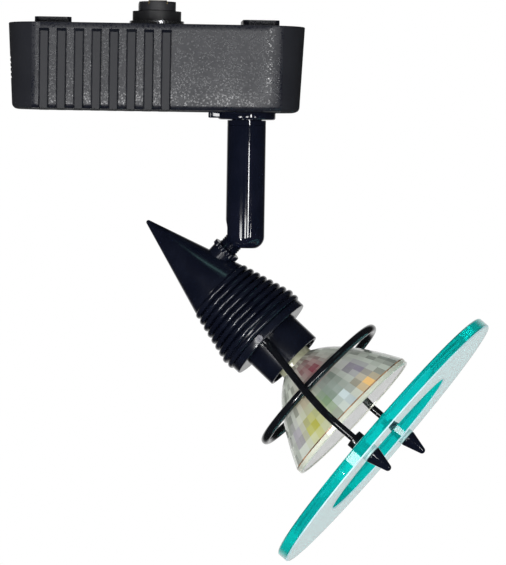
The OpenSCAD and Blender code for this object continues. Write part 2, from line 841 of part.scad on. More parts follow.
module stem_slot() {
    rotate([0, -90, 0]) cylinder(h = stem_r + 1, r = slot_w / 2);
    rotate([180, 0, 0]) cylinder(h = ball_rise + 1, r = slot_w / 2);
    translate([-stem_r - 1, -slot_w / 2, -ball_rise - 1]) cube([stem_r + 1, slot_w, ball_rise + 1]);
}

module stem_tube() {
    color("#0d0e12") in_stem() at_ball() difference() {
        stem_outer();
        cylinder(h = stem_top_z - ball_z + 1, r = stem_bore_r);
        sphere(stem_bore_r);
        stem_slot();
    }
}

module stem_spigot() {
    color("#141519") in_stem() difference() {
        union() {
            translate([0, 0, stem_top_z - plug_rim - plug_h])
                cylinder(h = plug_h + eps, r = stem_bore_r - fit_gap);
            translate([0, 0, stem_top_z - plug_rim]) cylinder(h = plug_rim, r = stem_r);
            translate([0, 0, stem_top_z - eps])
                cylinder(h = bush_top_z + washer_t + retainer_t + 2.2 - stem_top_z, r = spigot_r);
        }
        translate([0, 0, stem_top_z - plug_rim - plug_h - 1])
            cylinder(h = 2 * plug_h + housing_h + bush_flange_t, r = spigot_bore_r);
    }
}

module thrust_washer() {
    color("#8d9094") in_stem() translate([0, 0, bush_top_z + face_gap / 2])
        pipe(washer_t, bush_r, spigot_r + fit_gap);
}

module stem_retainer() {
    color("#9a8a5a") in_stem() translate([0, 0, bush_top_z + washer_t + face_gap]) difference() {
        cylinder(h = retainer_t, r = spigot_r + 3, $fn = 6);
        translate([0, 0, -1]) cylinder(h = retainer_t + 2, r = spigot_r + fit_gap);
    }
}

cup_z = 1.4;
cup_top = ball_r + 2.2;
spring_r = stem_bore_r - spring_wire / 2 - 0.25;

module friction_cup() {
    color("#e8e4d8") in_stem() at_ball() difference() {
        translate([0, 0, cup_z]) cylinder(h = cup_top - cup_z, r = stem_bore_r - fit_gap);
        sphere(ball_r + run_gap);
        cylinder(h = cup_top + 1, r = spigot_bore_r - 0.2);
        stem_slot();
    }
}

spring_z0 = cup_top + spring_wire / 2 + 0.05;
spring_z1 = stem_top_z - plug_rim - plug_h - ball_z - spring_wire / 2 - 0.05;

function spring_point(u) =
    let (a = 360 * spring_turns * u)
    [spring_r * cos(a), spring_r * sin(a), spring_z0 + (spring_z1 - spring_z0) * u];

spring_steps = 12;
spring_path = [for (i = [0 : spring_turns * spring_steps]) spring_point(i / (spring_turns * spring_steps))];
echo(spring_gap = least_gap(spring_path, spring_wire / 2, spring_steps / 2));
echo(winding_gap = least_gap(winding_path, toroid_wire_r, winding_steps / 2));

module friction_spring() {
    color("#a5a8ac") in_stem() at_ball() tube_along(spring_path, spring_wire / 2, [0, 0, 1], 6);
}

// Ball stud and lock nut

module ball_stud() {
    color("#15161a") in_stud() difference() {
        union() {
            sphere(ball_r);
            cylinder(h = stud_reach - stud_cone_r + cone_wall, r = stud_r);
        }
        translate([0, 0, -ball_r - 1]) cylinder(h = stud_reach + ball_r, r = stud_bore_r);
        translate([0, 0, -ball_r - 0.4]) cylinder(h = ball_r * 0.75, r1 = ball_r * 0.9, r2 = stud_bore_r);
    }
}

module lock_nut() {
    color("#101114") in_stud() translate([0, 0, seat_s - nut_t - fit_gap]) difference() {
        cylinder(h = nut_t, r = nut_r);
        translate([0, 0, -1]) cylinder(h = nut_t + 2, r = stud_r + run_gap);
        for (k = [0 : nut_grips - 1])
            rotate([0, 0, 360 * k / nut_grips]) translate([nut_r + 0.18, 0, -1])
                cylinder(h = nut_t + 2, r = 0.42, $fn = 16);
    }
}

// Cone head

// The last two ribs are the same size
function fin_crest(k) = fin_r0 + (fin_r1 - fin_r0) * min(1, k / (fin_count - 2));

fin_half = (fin_pitch - groove_w) / 2;
fin_steps = 6;

// Rounded ribs along the cone's flank, each with a groove on both sides
fin_outline = [
    for (k = [0 : fin_count - 1])
        let (c = fin_start + k * fin_pitch)
        each concat(
            [[fin_crest(k) - fin_depth, c - fin_pitch / 2]],
            [for (s = [0 : fin_steps])
                let (a = 180 * s / fin_steps)
                [fin_crest(k) - fin_depth + 0.25 + (fin_depth - 0.25) * pow(sin(a), 0.7), c - fin_half * cos(a)]],
            [[fin_crest(k) - fin_depth, c + fin_pitch / 2]]
        )
];

point_lean = atan((cone_r - tip_r) / cone_l);
point_outline = [
    for (k = [0 : 4])
        let (a = -90 + (90 - point_lean) * k / 4)
        [tip_r * cos(a), tip_r + tip_r * sin(a)]
];
cavity_start = cone_wall / cone_slope + 6;
cavity_r = sleeve_r - 0.9;

module cone_body() {
    rotate_extrude() polygon(concat(
        point_outline,
        [[cone_r, cone_l], [cone_r, fin_start - fin_pitch / 2]],
        fin_outline,
        [[base_r, fins_end], [base_r, base_t - 0.3], [base_r - 0.3, base_t], [0, base_t]]
    ));
}

module cone_cavity() {
    cavity_end = min(cone_l, sleeve_start - 3);
    rotate_extrude() polygon([
        [0, cavity_start],
        [cavity_start * cone_slope - cone_wall, cavity_start],
        [cavity_end * cone_slope - cone_wall, cavity_end],
        [cavity_r - 0.6, sleeve_start - 0.5],
        [cavity_r - 0.6, sleeve_start],
        [sleeve_r + fit_gap, sleeve_start],
        [sleeve_r + fit_gap, base_t + 1],
        [0, base_t + 1]
    ]);
}

module cone_shell() {
    color("#121319") difference() {
        union() {
            in_head() cone_body();
            in_stud() translate([0, 0, seat_s]) cylinder(h = stud_reach - seat_s - stud_cone_r * 0.7, r = seat_r);
        }
        in_head() cone_cavity();
        in_stud() cylinder(h = stud_reach - 2, r = stud_r + run_gap);
        for (side = [-1, 1]) {
            on_arm(side) translate([root_r, 0, base_t - root_depth])
                cylinder(h = root_depth + 1, r = arm_r + fit_gap);
            on_arm(side) translate([root_r, 0, grub_t]) rotate([0, 90, 0])
                cylinder(h = base_r, r = grub_r + fit_gap);
        }
    }
}

module set_screws() {
    color("#c4c7cb") for (side = [-1, 1]) on_arm(side)
        translate([root_r + arm_r + fit_gap, 0, grub_t]) rotate([0, 90, 0]) difference() {
            cylinder(h = base_r + grub_out - root_r - arm_r - fit_gap, r = grub_r);
            translate([-grub_r, -0.2, base_r + grub_out - root_r - arm_r - fit_gap - 0.4])
                cube([2 * grub_r, 0.4, 1]);
        }
}

// Lamp holder

module socket_sleeve() {
    color("#131418") in_head() translate([0, 0, sleeve_start]) difference() {
        cylinder(h = sleeve_end - sleeve_start, r = sleeve_r);
        translate([0, 0, -1]) cylinder(h = sleeve_end - sleeve_start + 2, r = sleeve_r - sleeve_wall);
    }
}

socket_r = sleeve_r - sleeve_wall - fit_gap;
contact_wall = 0.5;

module lamp_socket() {
    color("#e6e2da") in_head() translate([0, 0, socket_start]) difference() {
        cylinder(h = socket_l, r = socket_r);
        for (y = [-1, 1])
            translate([0, y * pin_pitch / 2, -1])
                cylinder(h = socket_l + 2, r = pin_r + contact_wall + 2 * fit_gap);
        for (x = [-1, 1])
            translate([x * socket_r * 1.25, 0, -1]) cylinder(h = socket_l + 2, r = socket_r * 0.5);
    }
}

module socket_contacts() {
    color("#c79a3c") in_head() for (y = [-1, 1])
        translate([0, y * pin_pitch / 2, socket_start])
            pipe(socket_l - 0.4, pin_r + contact_wall + fit_gap, pin_r + fit_gap);
}

// Leads from the stud's bore to the back of the socket, in the head's frame
lead_from_x = -stud_reach + ball_r + 1.2;
lead_turn_x = -stud_cone_r + cone_wall + 3.2;
lead_bend = 2.4;

function socket_route(y) = spline([
    [lead_from_x, y * lead_pitch * 0.45, stud_t],
    [(lead_from_x + lead_turn_x - lead_bend) / 2, y * lead_pitch * 0.45, stud_t],
    [lead_turn_x - lead_bend, y * lead_pitch * 0.45, stud_t],
    [lead_turn_x, y * lead_pitch * 0.6, stud_t + 2.6],
    [0, y * pin_pitch / 2, (stud_t + socket_start) / 2 + 2],
    [0, y * pin_pitch / 2, socket_start - 0.1]
], 4);

module socket_leads() {
    color("#efe9da") in_head() for (y = [-1, 1]) tube_along(socket_route(y), lead_r, [0.01, 1, 0]);
}

// Lamp

module lamp_base() {
    color("#ece9e2") in_head() difference() {
        union() {
            translate([0, 0, lamp_back]) round_plate(lamp_base_t, lamp_base_w, lamp_base_l * 0.72, 1.5);
            translate([0, 0, lamp_back + lamp_base_l * 0.72 - eps])
                cylinder(h = lamp_base_l * 0.28 + eps, r = neck_out_r);
        }
        translate([0, 0, neck_t - 4]) cylinder(h = 5, r = capsule_r + 0.1);
        for (y = [-1, 1])
            translate([0, y * pin_pitch / 2, lamp_back - 1]) cylinder(h = 3, r = pin_r + fit_gap);
    }
}

module lamp_pins() {
    color("#c9cbce") in_head() for (y = [-1, 1])
        translate([0, y * pin_pitch / 2, lamp_back - pin_l]) cylinder(h = pin_l + 1.9, r = pin_r);
}

// Bowl of a parabola whose rim and neck radii are given
neck_share = pow(neck_out_r / rim_r, 2);
bowl_end = rim_t_pos - rim_band;
vertex_t = (neck_t - neck_share * bowl_end) / (1 - neck_share);

function bowl_t(r) = vertex_t + (bowl_end - vertex_t) * pow(r / rim_r, 2);

function row_r(k) = neck_out_r + (rim_r - neck_out_r) * pow(k / facet_rows, 0.85);

bowl_outer = concat(
    [for (k = [0 : facet_rows]) [row_r(k), bowl_t(row_r(k))]],
    [[rim_r, rim_t_pos]]
);
bowl_inner = concat(
    [[rim_r - reflector_wall, rim_t_pos], [rim_r - reflector_wall, bowl_end - 0.2]],
    [for (k = [facet_rows - 1 : -1 : 0])
        [row_r(k) - reflector_wall * 0.9, bowl_t(row_r(k)) + (k == 0 ? 0 : reflector_wall * 0.5)]]
);

module lamp_reflector() {
    loop = concat(bowl_outer, bowl_inner);
    n = facet_sectors;
    points = [for (p = loop, k = [0 : n - 1]) [p[0] * cos(360 * k / n), p[0] * sin(360 * k / n), p[1]]];
    faces = [
        for (i = [0 : len(loop) - 1], k = [0 : n - 1])
            let (j = (i + 1) % len(loop), m = (k + 1) % n)
            each [[i * n + k, j * n + m, i * n + m], [i * n + k, j * n + k, j * n + m]]
    ];
    color("#d7dcd6") in_head() polyhedron(points, faces);
}

module lamp_capsule() {
    color("#eef2f2") in_head() translate([0, 0, neck_t - 3.9]) difference() {
        union() {
            cylinder(h = capsule_l - capsule_r, r = capsule_r);
            translate([0, 0, capsule_l - capsule_r]) sphere(capsule_r);
        }
        translate([0, 0, 6]) cylinder(h = capsule_l - capsule_r - 6, r = capsule_r - 0.7);
        translate([0, 0, capsule_l - capsule_r]) sphere(capsule_r - 0.7);
    }
}

module lamp_filament() {
    color("#8b8d90") in_head() translate([0, 0, neck_t + 2.1]) {
        for (y = [-1, 1]) translate([0, y * 1.2, 0]) cylinder(h = capsule_l - capsule_r - 8, r = 0.2);
        translate([0, 0, capsule_l - capsule_r - 8.2]) rotate([90, 0, 0])
            cylinder(h = 3, r = 0.5, center = true);
    }
}

front_glass_r = (rim_r - reflector_wall) * cos(180 / facet_sectors) - fit_gap;

module lamp_front_glass() {
    color("#dfe8e8") in_head() translate([0, 0, rim_t_pos - front_glass_t - 0.2])
        cylinder(h = front_glass_t, r = front_glass_r);
}

// Arms, wire ring and glass ring

// Rod from the base, out at the flare angle and on along the beam to its threaded end
bend_steps = 6;
arm_line = concat(
    [[root_r, 0, base_t - root_depth + fit_gap]],
    [for (k = [0 : bend_steps])
        let (a = arm_flare * k / bend_steps)
        [root_r + bend_1 * (1 - cos(a)), 0, arm_start + bend_1 * sin(a)]],
    [[arm_at_ring, 0, ring_t]],
    [for (k = [bend_steps : -1 : 0])
        let (a = arm_flare * k / bend_steps)
        [arm_out - bend_2 * (1 - cos(a)), 0, straight_t - bend_2 * sin(a)]],
    [[arm_out, 0, arm_end]]
);

// Point of an arm, leaned with the glass from the wire ring on
function leaned(p, side) = p[2] <= ring_t ? p : [
    p[0],
    -side * (p[2] - ring_t) * sin(disc_lean),
    ring_t + (p[2] - ring_t) * cos(disc_lean)
];

module arm_rod(side) {
    on_arm(side) tube_along([for (p = arm_line) leaned(p, side)], arm_r, [0, 1, 0], 12);
}

module near_arm() {
    color("#0e0f12") arm_rod(-1);
}

module far_arm() {
    color("#0e0f12") arm_rod(1);
}

module spreader_ring() {
    color("#0e0f12") in_head() translate([0, 0, ring_t]) rotate_extrude()
        translate([ring_r, 0]) circle(ring_wire_r);
}

module shoulder_collars() {
    color("#0e0f12") for (side = [-1, 1])
        on_disc(side) translate([0, 0, collar_end - collar_t]) pipe(collar_t, collar_r, arm_r + fit_gap);
}

disc_hole_r = arm_r + disc_bush_wall + 2 * fit_gap;

module glass_disc() {
    bevel = 0.4;
    color([0.35, 0.78, 0.76, 0.6]) difference() {
        in_disc() rotate_extrude() polygon([
            [bore_r + bevel, disc_back], [disc_r - bevel, disc_back],
            [disc_r, disc_back + bevel], [disc_r, disc_front - bevel],
            [disc_r - bevel, disc_front], [bore_r + bevel, disc_front],
            [bore_r, disc_front - bevel], [bore_r, disc_back + bevel]
        ]);
        for (side = [-1, 1])
            on_disc(side) translate([0, 0, disc_back - 1]) cylinder(h = disc_t + 2, r = disc_hole_r);
    }
}

// A flanged bush behind the glass and a washer in front of it, on each arm
module disc_bushes() {
    color("#d8dedc") for (side = [-1, 1]) on_disc(side) {
        difference() {
            union() {
                translate([0, 0, collar_end]) cylinder(h = disc_bush_t, r = collar_r);
                translate([0, 0, disc_back - eps])
                    cylinder(h = disc_t - fit_gap + eps, r = disc_hole_r - fit_gap);
            }
            translate([0, 0, collar_end - 1]) cylinder(h = disc_t + 4, r = arm_r + fit_gap);
        }
        translate([0, 0, disc_front + fit_gap]) pipe(cap_washer_t, finial_r, arm_r + fit_gap);
    }
}

// Bullet-shaped nuts that hold the glass on the arms
module finials() {
    shoulder = 0.4;
    edge = 0.25;
    lean = atan((finial_r - finial_tip_r) / (finial_l - shoulder - finial_tip_r));
    color("#0e0f12") for (side = [-1, 1])
        on_disc(side) translate([0, 0, finial_t]) difference() {
            rotate_extrude() polygon(concat(
                [[0, 0], [finial_r - edge, 0], [finial_r, edge], [finial_r, shoulder]],
                [for (k = [0 : 4])
                    let (a = lean + (90 - lean) * k / 4)
                    [finial_tip_r * cos(a), finial_l - finial_tip_r + finial_tip_r * sin(a)]]
            ));
            translate([0, 0, -1]) cylinder(h = finial_l * 0.5 + 1 + fit_gap, r = arm_r + fit_gap);
        }
}

housing_shell();
top_cover();
cover_screws();
stem_bush();
bush_nut();
circuit_board();
toroid_core();
toroid_winding();
film_capacitors();
power_transistors();
heat_spreader();
terminal_block();
input_leads();
output_leads();
lock_turret();
contact_blades();
lock_lever();
turret_clip();
stem_tube();
stem_spigot();
stem_retainer();
thrust_washer();
friction_cup();
friction_spring();
ball_stud();
lock_nut();
cone_shell();
socket_sleeve();
lamp_socket();
socket_contacts();
socket_leads();
lamp_base();
lamp_pins();
lamp_reflector();
lamp_capsule();
lamp_filament();
lamp_front_glass();
near_arm();
far_arm();
spreader_ring();
set_screws();
shoulder_collars();
glass_disc();
disc_bushes();
finials();
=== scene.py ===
"""Looks of a low-voltage track light: its refined pieces, their finishes and the studio.

Sizes are in millimetres and angles in degrees; points in space and the studio are in metres.
"""

import json
import logging
from collections.abc import Mapping, Sequence
from dataclasses import dataclass, replace
from enum import Enum, IntEnum
from math import asin, atan, cos, pi, radians, sin, sqrt, tan

import bmesh
import bpy
import numpy as np
from mathutils import Matrix

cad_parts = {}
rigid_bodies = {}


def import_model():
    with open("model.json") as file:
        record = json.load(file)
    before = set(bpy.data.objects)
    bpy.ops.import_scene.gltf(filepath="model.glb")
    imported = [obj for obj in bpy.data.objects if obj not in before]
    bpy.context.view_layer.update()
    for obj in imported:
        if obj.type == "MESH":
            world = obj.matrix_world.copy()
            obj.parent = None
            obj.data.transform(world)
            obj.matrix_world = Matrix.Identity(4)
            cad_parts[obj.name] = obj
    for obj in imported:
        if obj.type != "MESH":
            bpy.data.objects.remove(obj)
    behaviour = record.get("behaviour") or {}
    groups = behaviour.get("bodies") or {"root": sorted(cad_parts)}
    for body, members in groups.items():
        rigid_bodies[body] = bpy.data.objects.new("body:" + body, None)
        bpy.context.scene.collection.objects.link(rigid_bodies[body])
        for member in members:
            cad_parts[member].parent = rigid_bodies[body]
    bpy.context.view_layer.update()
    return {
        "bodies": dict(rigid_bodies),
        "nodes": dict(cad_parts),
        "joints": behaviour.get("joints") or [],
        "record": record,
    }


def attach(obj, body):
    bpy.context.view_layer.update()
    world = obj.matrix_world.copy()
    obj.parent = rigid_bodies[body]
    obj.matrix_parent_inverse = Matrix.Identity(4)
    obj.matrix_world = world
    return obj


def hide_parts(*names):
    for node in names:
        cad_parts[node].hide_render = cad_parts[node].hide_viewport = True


Array = np.ndarray
Colour = tuple[float, float, float]
Point = tuple[float, float, float]

MM = 0.001
LOG = logging.getLogger("track_light")
WHITE: Colour = (1.0, 1.0, 1.0)
EVEN: Point = (1.0, 1.0, 1.0)
# Levels of a noise between which one tone gives way to the other
TONE_STEP = (0.3, 0.7)
# Moulded grain: the shares of its cells and specks, and the specks' size against the cells'
CELL_SHARE, SPECK_SHARE, SPECK_SIZE = 0.5, 0.7, 0.5
# How far a cutting tool runs past the surface that it cuts, in millimetres
PAST = 1.0
# Share of a second direction that keeps a tube's rings from turning with its path
SKEW = 0.01
# Points in one turn of a coil
COIL_STEPS = 48
# Points of a mesh that are closer than this are merged, in metres
MERGE = 1e-7
# Largest cosine between a corner's sides, which keeps a straight corner's arc finite
STRAIGHT = 0.9999
# Keeps a division from meeting zero
TINY = 1e-9


class Body(Enum):
    """Groups of the light that its new pieces move with."""

    BASE = "base"
    STEM = "stem"
    SWIVEL = "swivel"
    NUT = "nut"
    HEAD = "head"


class Cut(Enum):
    """What a second shape does to a piece."""

    AWAY = "DIFFERENCE"
    JOIN = "UNION"


class Texture(Enum):
    """How a surface varies over its area."""

    CLOUD = "soft patches of paint or moulding"
    PEBBLE = "moulded grain"
    BRUSHED = "fine lines along the piece"


class Skin(IntEnum):
    """Slots of the housing's shell."""

    WALL = 0
    SHADED_RIB = 1
    PLAIN = 2


class Pane(IntEnum):
    """Slots of the glass ring."""

    WALL = 0
    FACE = 1
    SEAM = 2


# Shaders


class Value:
    """A shader socket; arithmetic on it adds Math nodes."""

    def __init__(self, graph: "Graph", socket: bpy.types.NodeSocket) -> None:
        """Keeps the socket and the graph that it belongs to."""
        self.graph = graph
        self.socket = socket

    def _math(self, operation: str, first: "Value | float", second: "Value | float") -> "Value":
        """Adds one Math node on two values."""
        return self.graph.node("ShaderNodeMath", {"operation": operation}, {0: first, 1: second})

    def __add__(self, other: "Value | float") -> "Value":
        """This value plus another."""
        return self._math("ADD", self, other)

    def __radd__(self, other: float) -> "Value":
        """A number plus this value."""
        return self._math("ADD", other, self)

    def __sub__(self, other: "Value | float") -> "Value":
        """This value less another."""
        return self._math("SUBTRACT", self, other)

    def __rsub__(self, other: float) -> "Value":
        """A number less this value."""
        return self._math("SUBTRACT", other, self)

    def __mul__(self, other: "Value | float") -> "Value":
        """This value times another."""
        return self._math("MULTIPLY", self, other)

    def __rmul__(self, other: float) -> "Value":
        """A number times this value."""
        return self._math("MULTIPLY", other, self)

    def most(self, other: "Value | float") -> "Value":
        """The larger of this value and another."""
        return self._math("MAXIMUM", self, other)

    def between(self, low: float, high: float) -> "Value":
        """Runs smoothly from 0 at low to 1 at high.

        Args:
            low: Value that gives 0.
            high: Value that gives 1.

        Returns:
            The eased share of the way from low to high.
        """
        inputs = {"Value": self, "From Min": low, "From Max": high}
        return self.graph.node("ShaderNodeMapRange", {"interpolation_type": "SMOOTHSTEP"}, inputs)


class Graph:
    """The node tree of a material or of the world."""

    def __init__(self, tree: bpy.types.NodeTree) -> None:
        """Empties the tree and keeps it."""
        self.tree = tree
        tree.nodes.clear()

    def node(
        self,
        kind: str,
        settings: Mapping[str, object] | None = None,
        inputs: Mapping[int | str, object] | None = None,
        output: int | str = 0,
    ) -> Value | None:
        """Adds one node.

        Args:
            kind: The node's type.
            settings: Its properties, which are set first; "stops" are a ramp's places and colours.
            inputs: Values or links of its sockets, by index or name.
            output: The socket that carries the result on.

        Returns:
            The result, or None for a node without outputs.
        """
        made = self.tree.nodes.new(kind)
        for key, setting in (settings or {}).items():
            if key == "stops":
                self._set_stops(made.color_ramp, setting)
            else:
                setattr(made, key, setting)
        for key, given in (inputs or {}).items():
            if isinstance(given, Value):
                self.tree.links.new(given.socket, made.inputs[key])
            else:
                made.inputs[key].default_value = given
        return Value(self, made.outputs[output]) if made.outputs else None

    @staticmethod
    def _set_stops(ramp: bpy.types.ColorRamp, stops: Sequence[tuple[float, Colour]]) -> None:
        """Gives a ramp its places and colours.

        Args:
            ramp: The ramp.
            stops: Each stop's place, from 0 to 1, and its colour.
        """
        while len(ramp.elements) < len(stops):
            ramp.elements.new(1.0)
        for element, (place, colour) in zip(ramp.elements, stops):
            element.position = place
            element.color = (*colour, 1.0)

    def place(self, stretch: Point = EVEN) -> Value:
        """Object coordinates, stretched."""
        where = self.node("ShaderNodeTexCoord", output="Object")
        return self.node("ShaderNodeMapping", {}, {"Vector": where, "Scale": stretch})

    def cloud(self, size: float, detail: float = 2.0, where: Value | None = None) -> Value:
        """Noise whose patches are size millimetres across."""
        inputs = {"Vector": where or self.place(), "Scale": 1.0 / (size * MM), "Detail": detail}
        return self.node("ShaderNodeTexNoise", {}, inputs)

    def pebbles(self, size: float) -> Value:
        """Rounded cells that are size millimetres across."""
        inputs = {"Vector": self.place(), "Scale": 1.0 / (size * MM), "Smoothness": 0.4}
        return self.node("ShaderNodeTexVoronoi", {"feature": "SMOOTH_F1"}, inputs)

    def mix(self, share: Value | float, first: object, second: object) -> Value:
        """Blends two colours."""
        colours = [(*c, 1.0) if isinstance(c, tuple) else c for c in (first, second)]
        return self.node("ShaderNodeMix", {"data_type": "RGBA"}, {0: share, 6: colours[0], 7: colours[1]}, 2)

    def relief(self, height: Value, depth: float) -> Value:
        """A bumped normal from a height of depth millimetres."""
        return self.node("ShaderNodeBump", {}, {"Distance": depth * MM, "Height": height})

    def principled(self, inputs: Mapping[str, object]) -> Value:
        """A surface shader with the given sockets."""
        return self.node("ShaderNodeBsdfPrincipled", {}, inputs)

    def end(self, surface: Value, kind: str = "ShaderNodeOutputMaterial") -> None:
        """Connects the surface to the tree's output."""
        self.node(kind, {}, {"Surface": surface})


@dataclass(frozen=True)
class Finish:
    """A plastic, paint, ceramic or metal whose tone, gloss and relief vary over the surface.

    Lengths are in millimetres; colour and tone are the two ends of its variation.
    """

    name: str
    colour: Colour
    tone: Colour
    roughness: float
    polish: float = 0.06
    metallic: float = 0.0
    coat: float = 0.0
    coat_roughness: float = 0.05
    patch: float = 6.0
    grain: float = 0.4
    relief: float = 0.004
    texture: Texture = Texture.CLOUD
    stretch: Point = EVEN

    def material(self) -> bpy.types.Material:
        """The finish as a material, made once.

        Returns:
            The new material, or the one that already has this finish's name.
        """
        name = f"{self.name}_finish"
        made = bpy.data.materials.get(name)
        if made is None:
            made = bpy.data.materials.new(name)
            made.use_nodes = True
            graph = Graph(made.node_tree)
            graph.end(self.surface(graph))
        return made

    def surface(self, graph: Graph) -> Value:
        """Builds the shader: patches tint it, and the grain sets its gloss and relief.

        Args:
            graph: The material's node tree.

        Returns:
            The shader.
        """
        patches = graph.cloud(self.patch, detail=3.0)
        grain = self._grain(graph)
        return graph.principled({
            "Base Color": self._tint(graph, patches),
            "Roughness": grain * self.polish + patches * self.polish + (self.roughness - self.polish),
            "Metallic": self.metallic,
            "Coat Weight": self.coat,
            "Coat Roughness": self.coat_roughness,
            "Normal": graph.relief(grain, self.relief),
        })

    def _tint(self, graph: Graph, patches: Value) -> Value:
        """The colour, which gives way to the tone in patches."""
        return graph.mix(patches.between(*TONE_STEP), self.colour, self.tone)

    def _grain(self, graph: Graph) -> Value:
        """The fine variation that the texture names.

        Args:
            graph: The material's node tree.

        Returns:
            Cells with specks for moulded grain, and noise for the rest, which is stretched if brushed.
        """
        if self.texture is Texture.PEBBLE:
            cells, specks = graph.pebbles(self.grain), graph.cloud(self.grain * SPECK_SIZE)
            return (cells * CELL_SHARE + specks * SPECK_SHARE).between(*TONE_STEP)
        stretch = self.stretch if self.texture is Texture.BRUSHED else EVEN
        return graph.cloud(self.grain, where=graph.place(stretch))


@dataclass(frozen=True)
class Glass(Finish):
    """Clear or tinted glass with faint polishing marks."""

    index: float = 1.5
    clear: float = 1.0

    def surface(self, graph: Graph) -> Value:
        """Builds a transmitting shader whose tint and gloss drift; clear is the share let through.

        Args:
            graph: The material's node tree.

        Returns:
            The shader.
        """
        patches = graph.cloud(self.patch)
        grain = graph.cloud(self.grain)
        return graph.principled({
            "Base Color": self._tint(graph, patches),
            "Roughness": patches * self.polish + self.roughness,
            "IOR": self.index,
            "Transmission Weight": self.clear,
            "Normal": graph.relief(grain, self.relief),
        })


@dataclass(frozen=True)
class MirrorGlass(Finish):
    """Coated reflector glass: every facet has its own tint, and the plain rim lets light through.

    The haze is the share of tone that a patch adds.
    """

    attribute: str = "facet"
    haze: float = 0.12
    haze_step: tuple[float, float] = (0.35, 0.75)
    coat_roughness: float = 0.04

    def surface(self, graph: Graph) -> Value:
        """Builds the shader from the facet attribute, whose alpha is the coat's cover.

        Args:
            graph: The material's node tree.

        Returns:
            The shader.
        """
        facet = {"attribute_name": self.attribute}
        tint = graph.node("ShaderNodeAttribute", facet, output="Color")
        cover = graph.node("ShaderNodeAttribute", facet, output="Alpha")
        grain = graph.cloud(self.grain)
        patches = graph.cloud(self.patch)
        return graph.principled({
            "Base Color": graph.mix(patches.between(*self.haze_step) * self.haze, tint, self.tone),
            "Roughness": grain * self.polish + self.roughness,
            "Metallic": self.metallic,
            "Coat Weight": self.coat,
            "Coat Roughness": self.coat_roughness,
            "Alpha": cover,
            "Normal": graph.relief(grain, self.relief),
        })


@dataclass(frozen=True)
class FloorPaint(Finish):
    """Pale paint that runs out to white for the camera, between two distances in metres."""

    fade: tuple[float, float] = (0.35, 1.2)

    def surface(self, graph: Graph) -> Value:
        """Builds a mottled paint, and plain white that takes over with the distance from the middle.

        Args:
            graph: The material's node tree.

        Returns:
            The shader.
        """
        mottle = graph.cloud(self.patch, detail=3.0)
        paint = graph.principled({
            "Base Color": graph.mix(mottle, self.colour, self.tone),
            "Roughness": mottle * self.polish + self.roughness,
        })
        white = graph.node("ShaderNodeEmission", {}, {"Color": (*WHITE, 1.0), "Strength": 1.0})
        level = graph.place((1.0, 1.0, 0.0))
        away = graph.node("ShaderNodeVectorMath", {"operation": "LENGTH"}, {0: level}, "Value")
        seen = graph.node("ShaderNodeLightPath", output="Is Camera Ray")
        share = away.between(*self.fade) * seen
        return graph.node("ShaderNodeMixShader", {}, {0: share, 1: paint, 2: white})


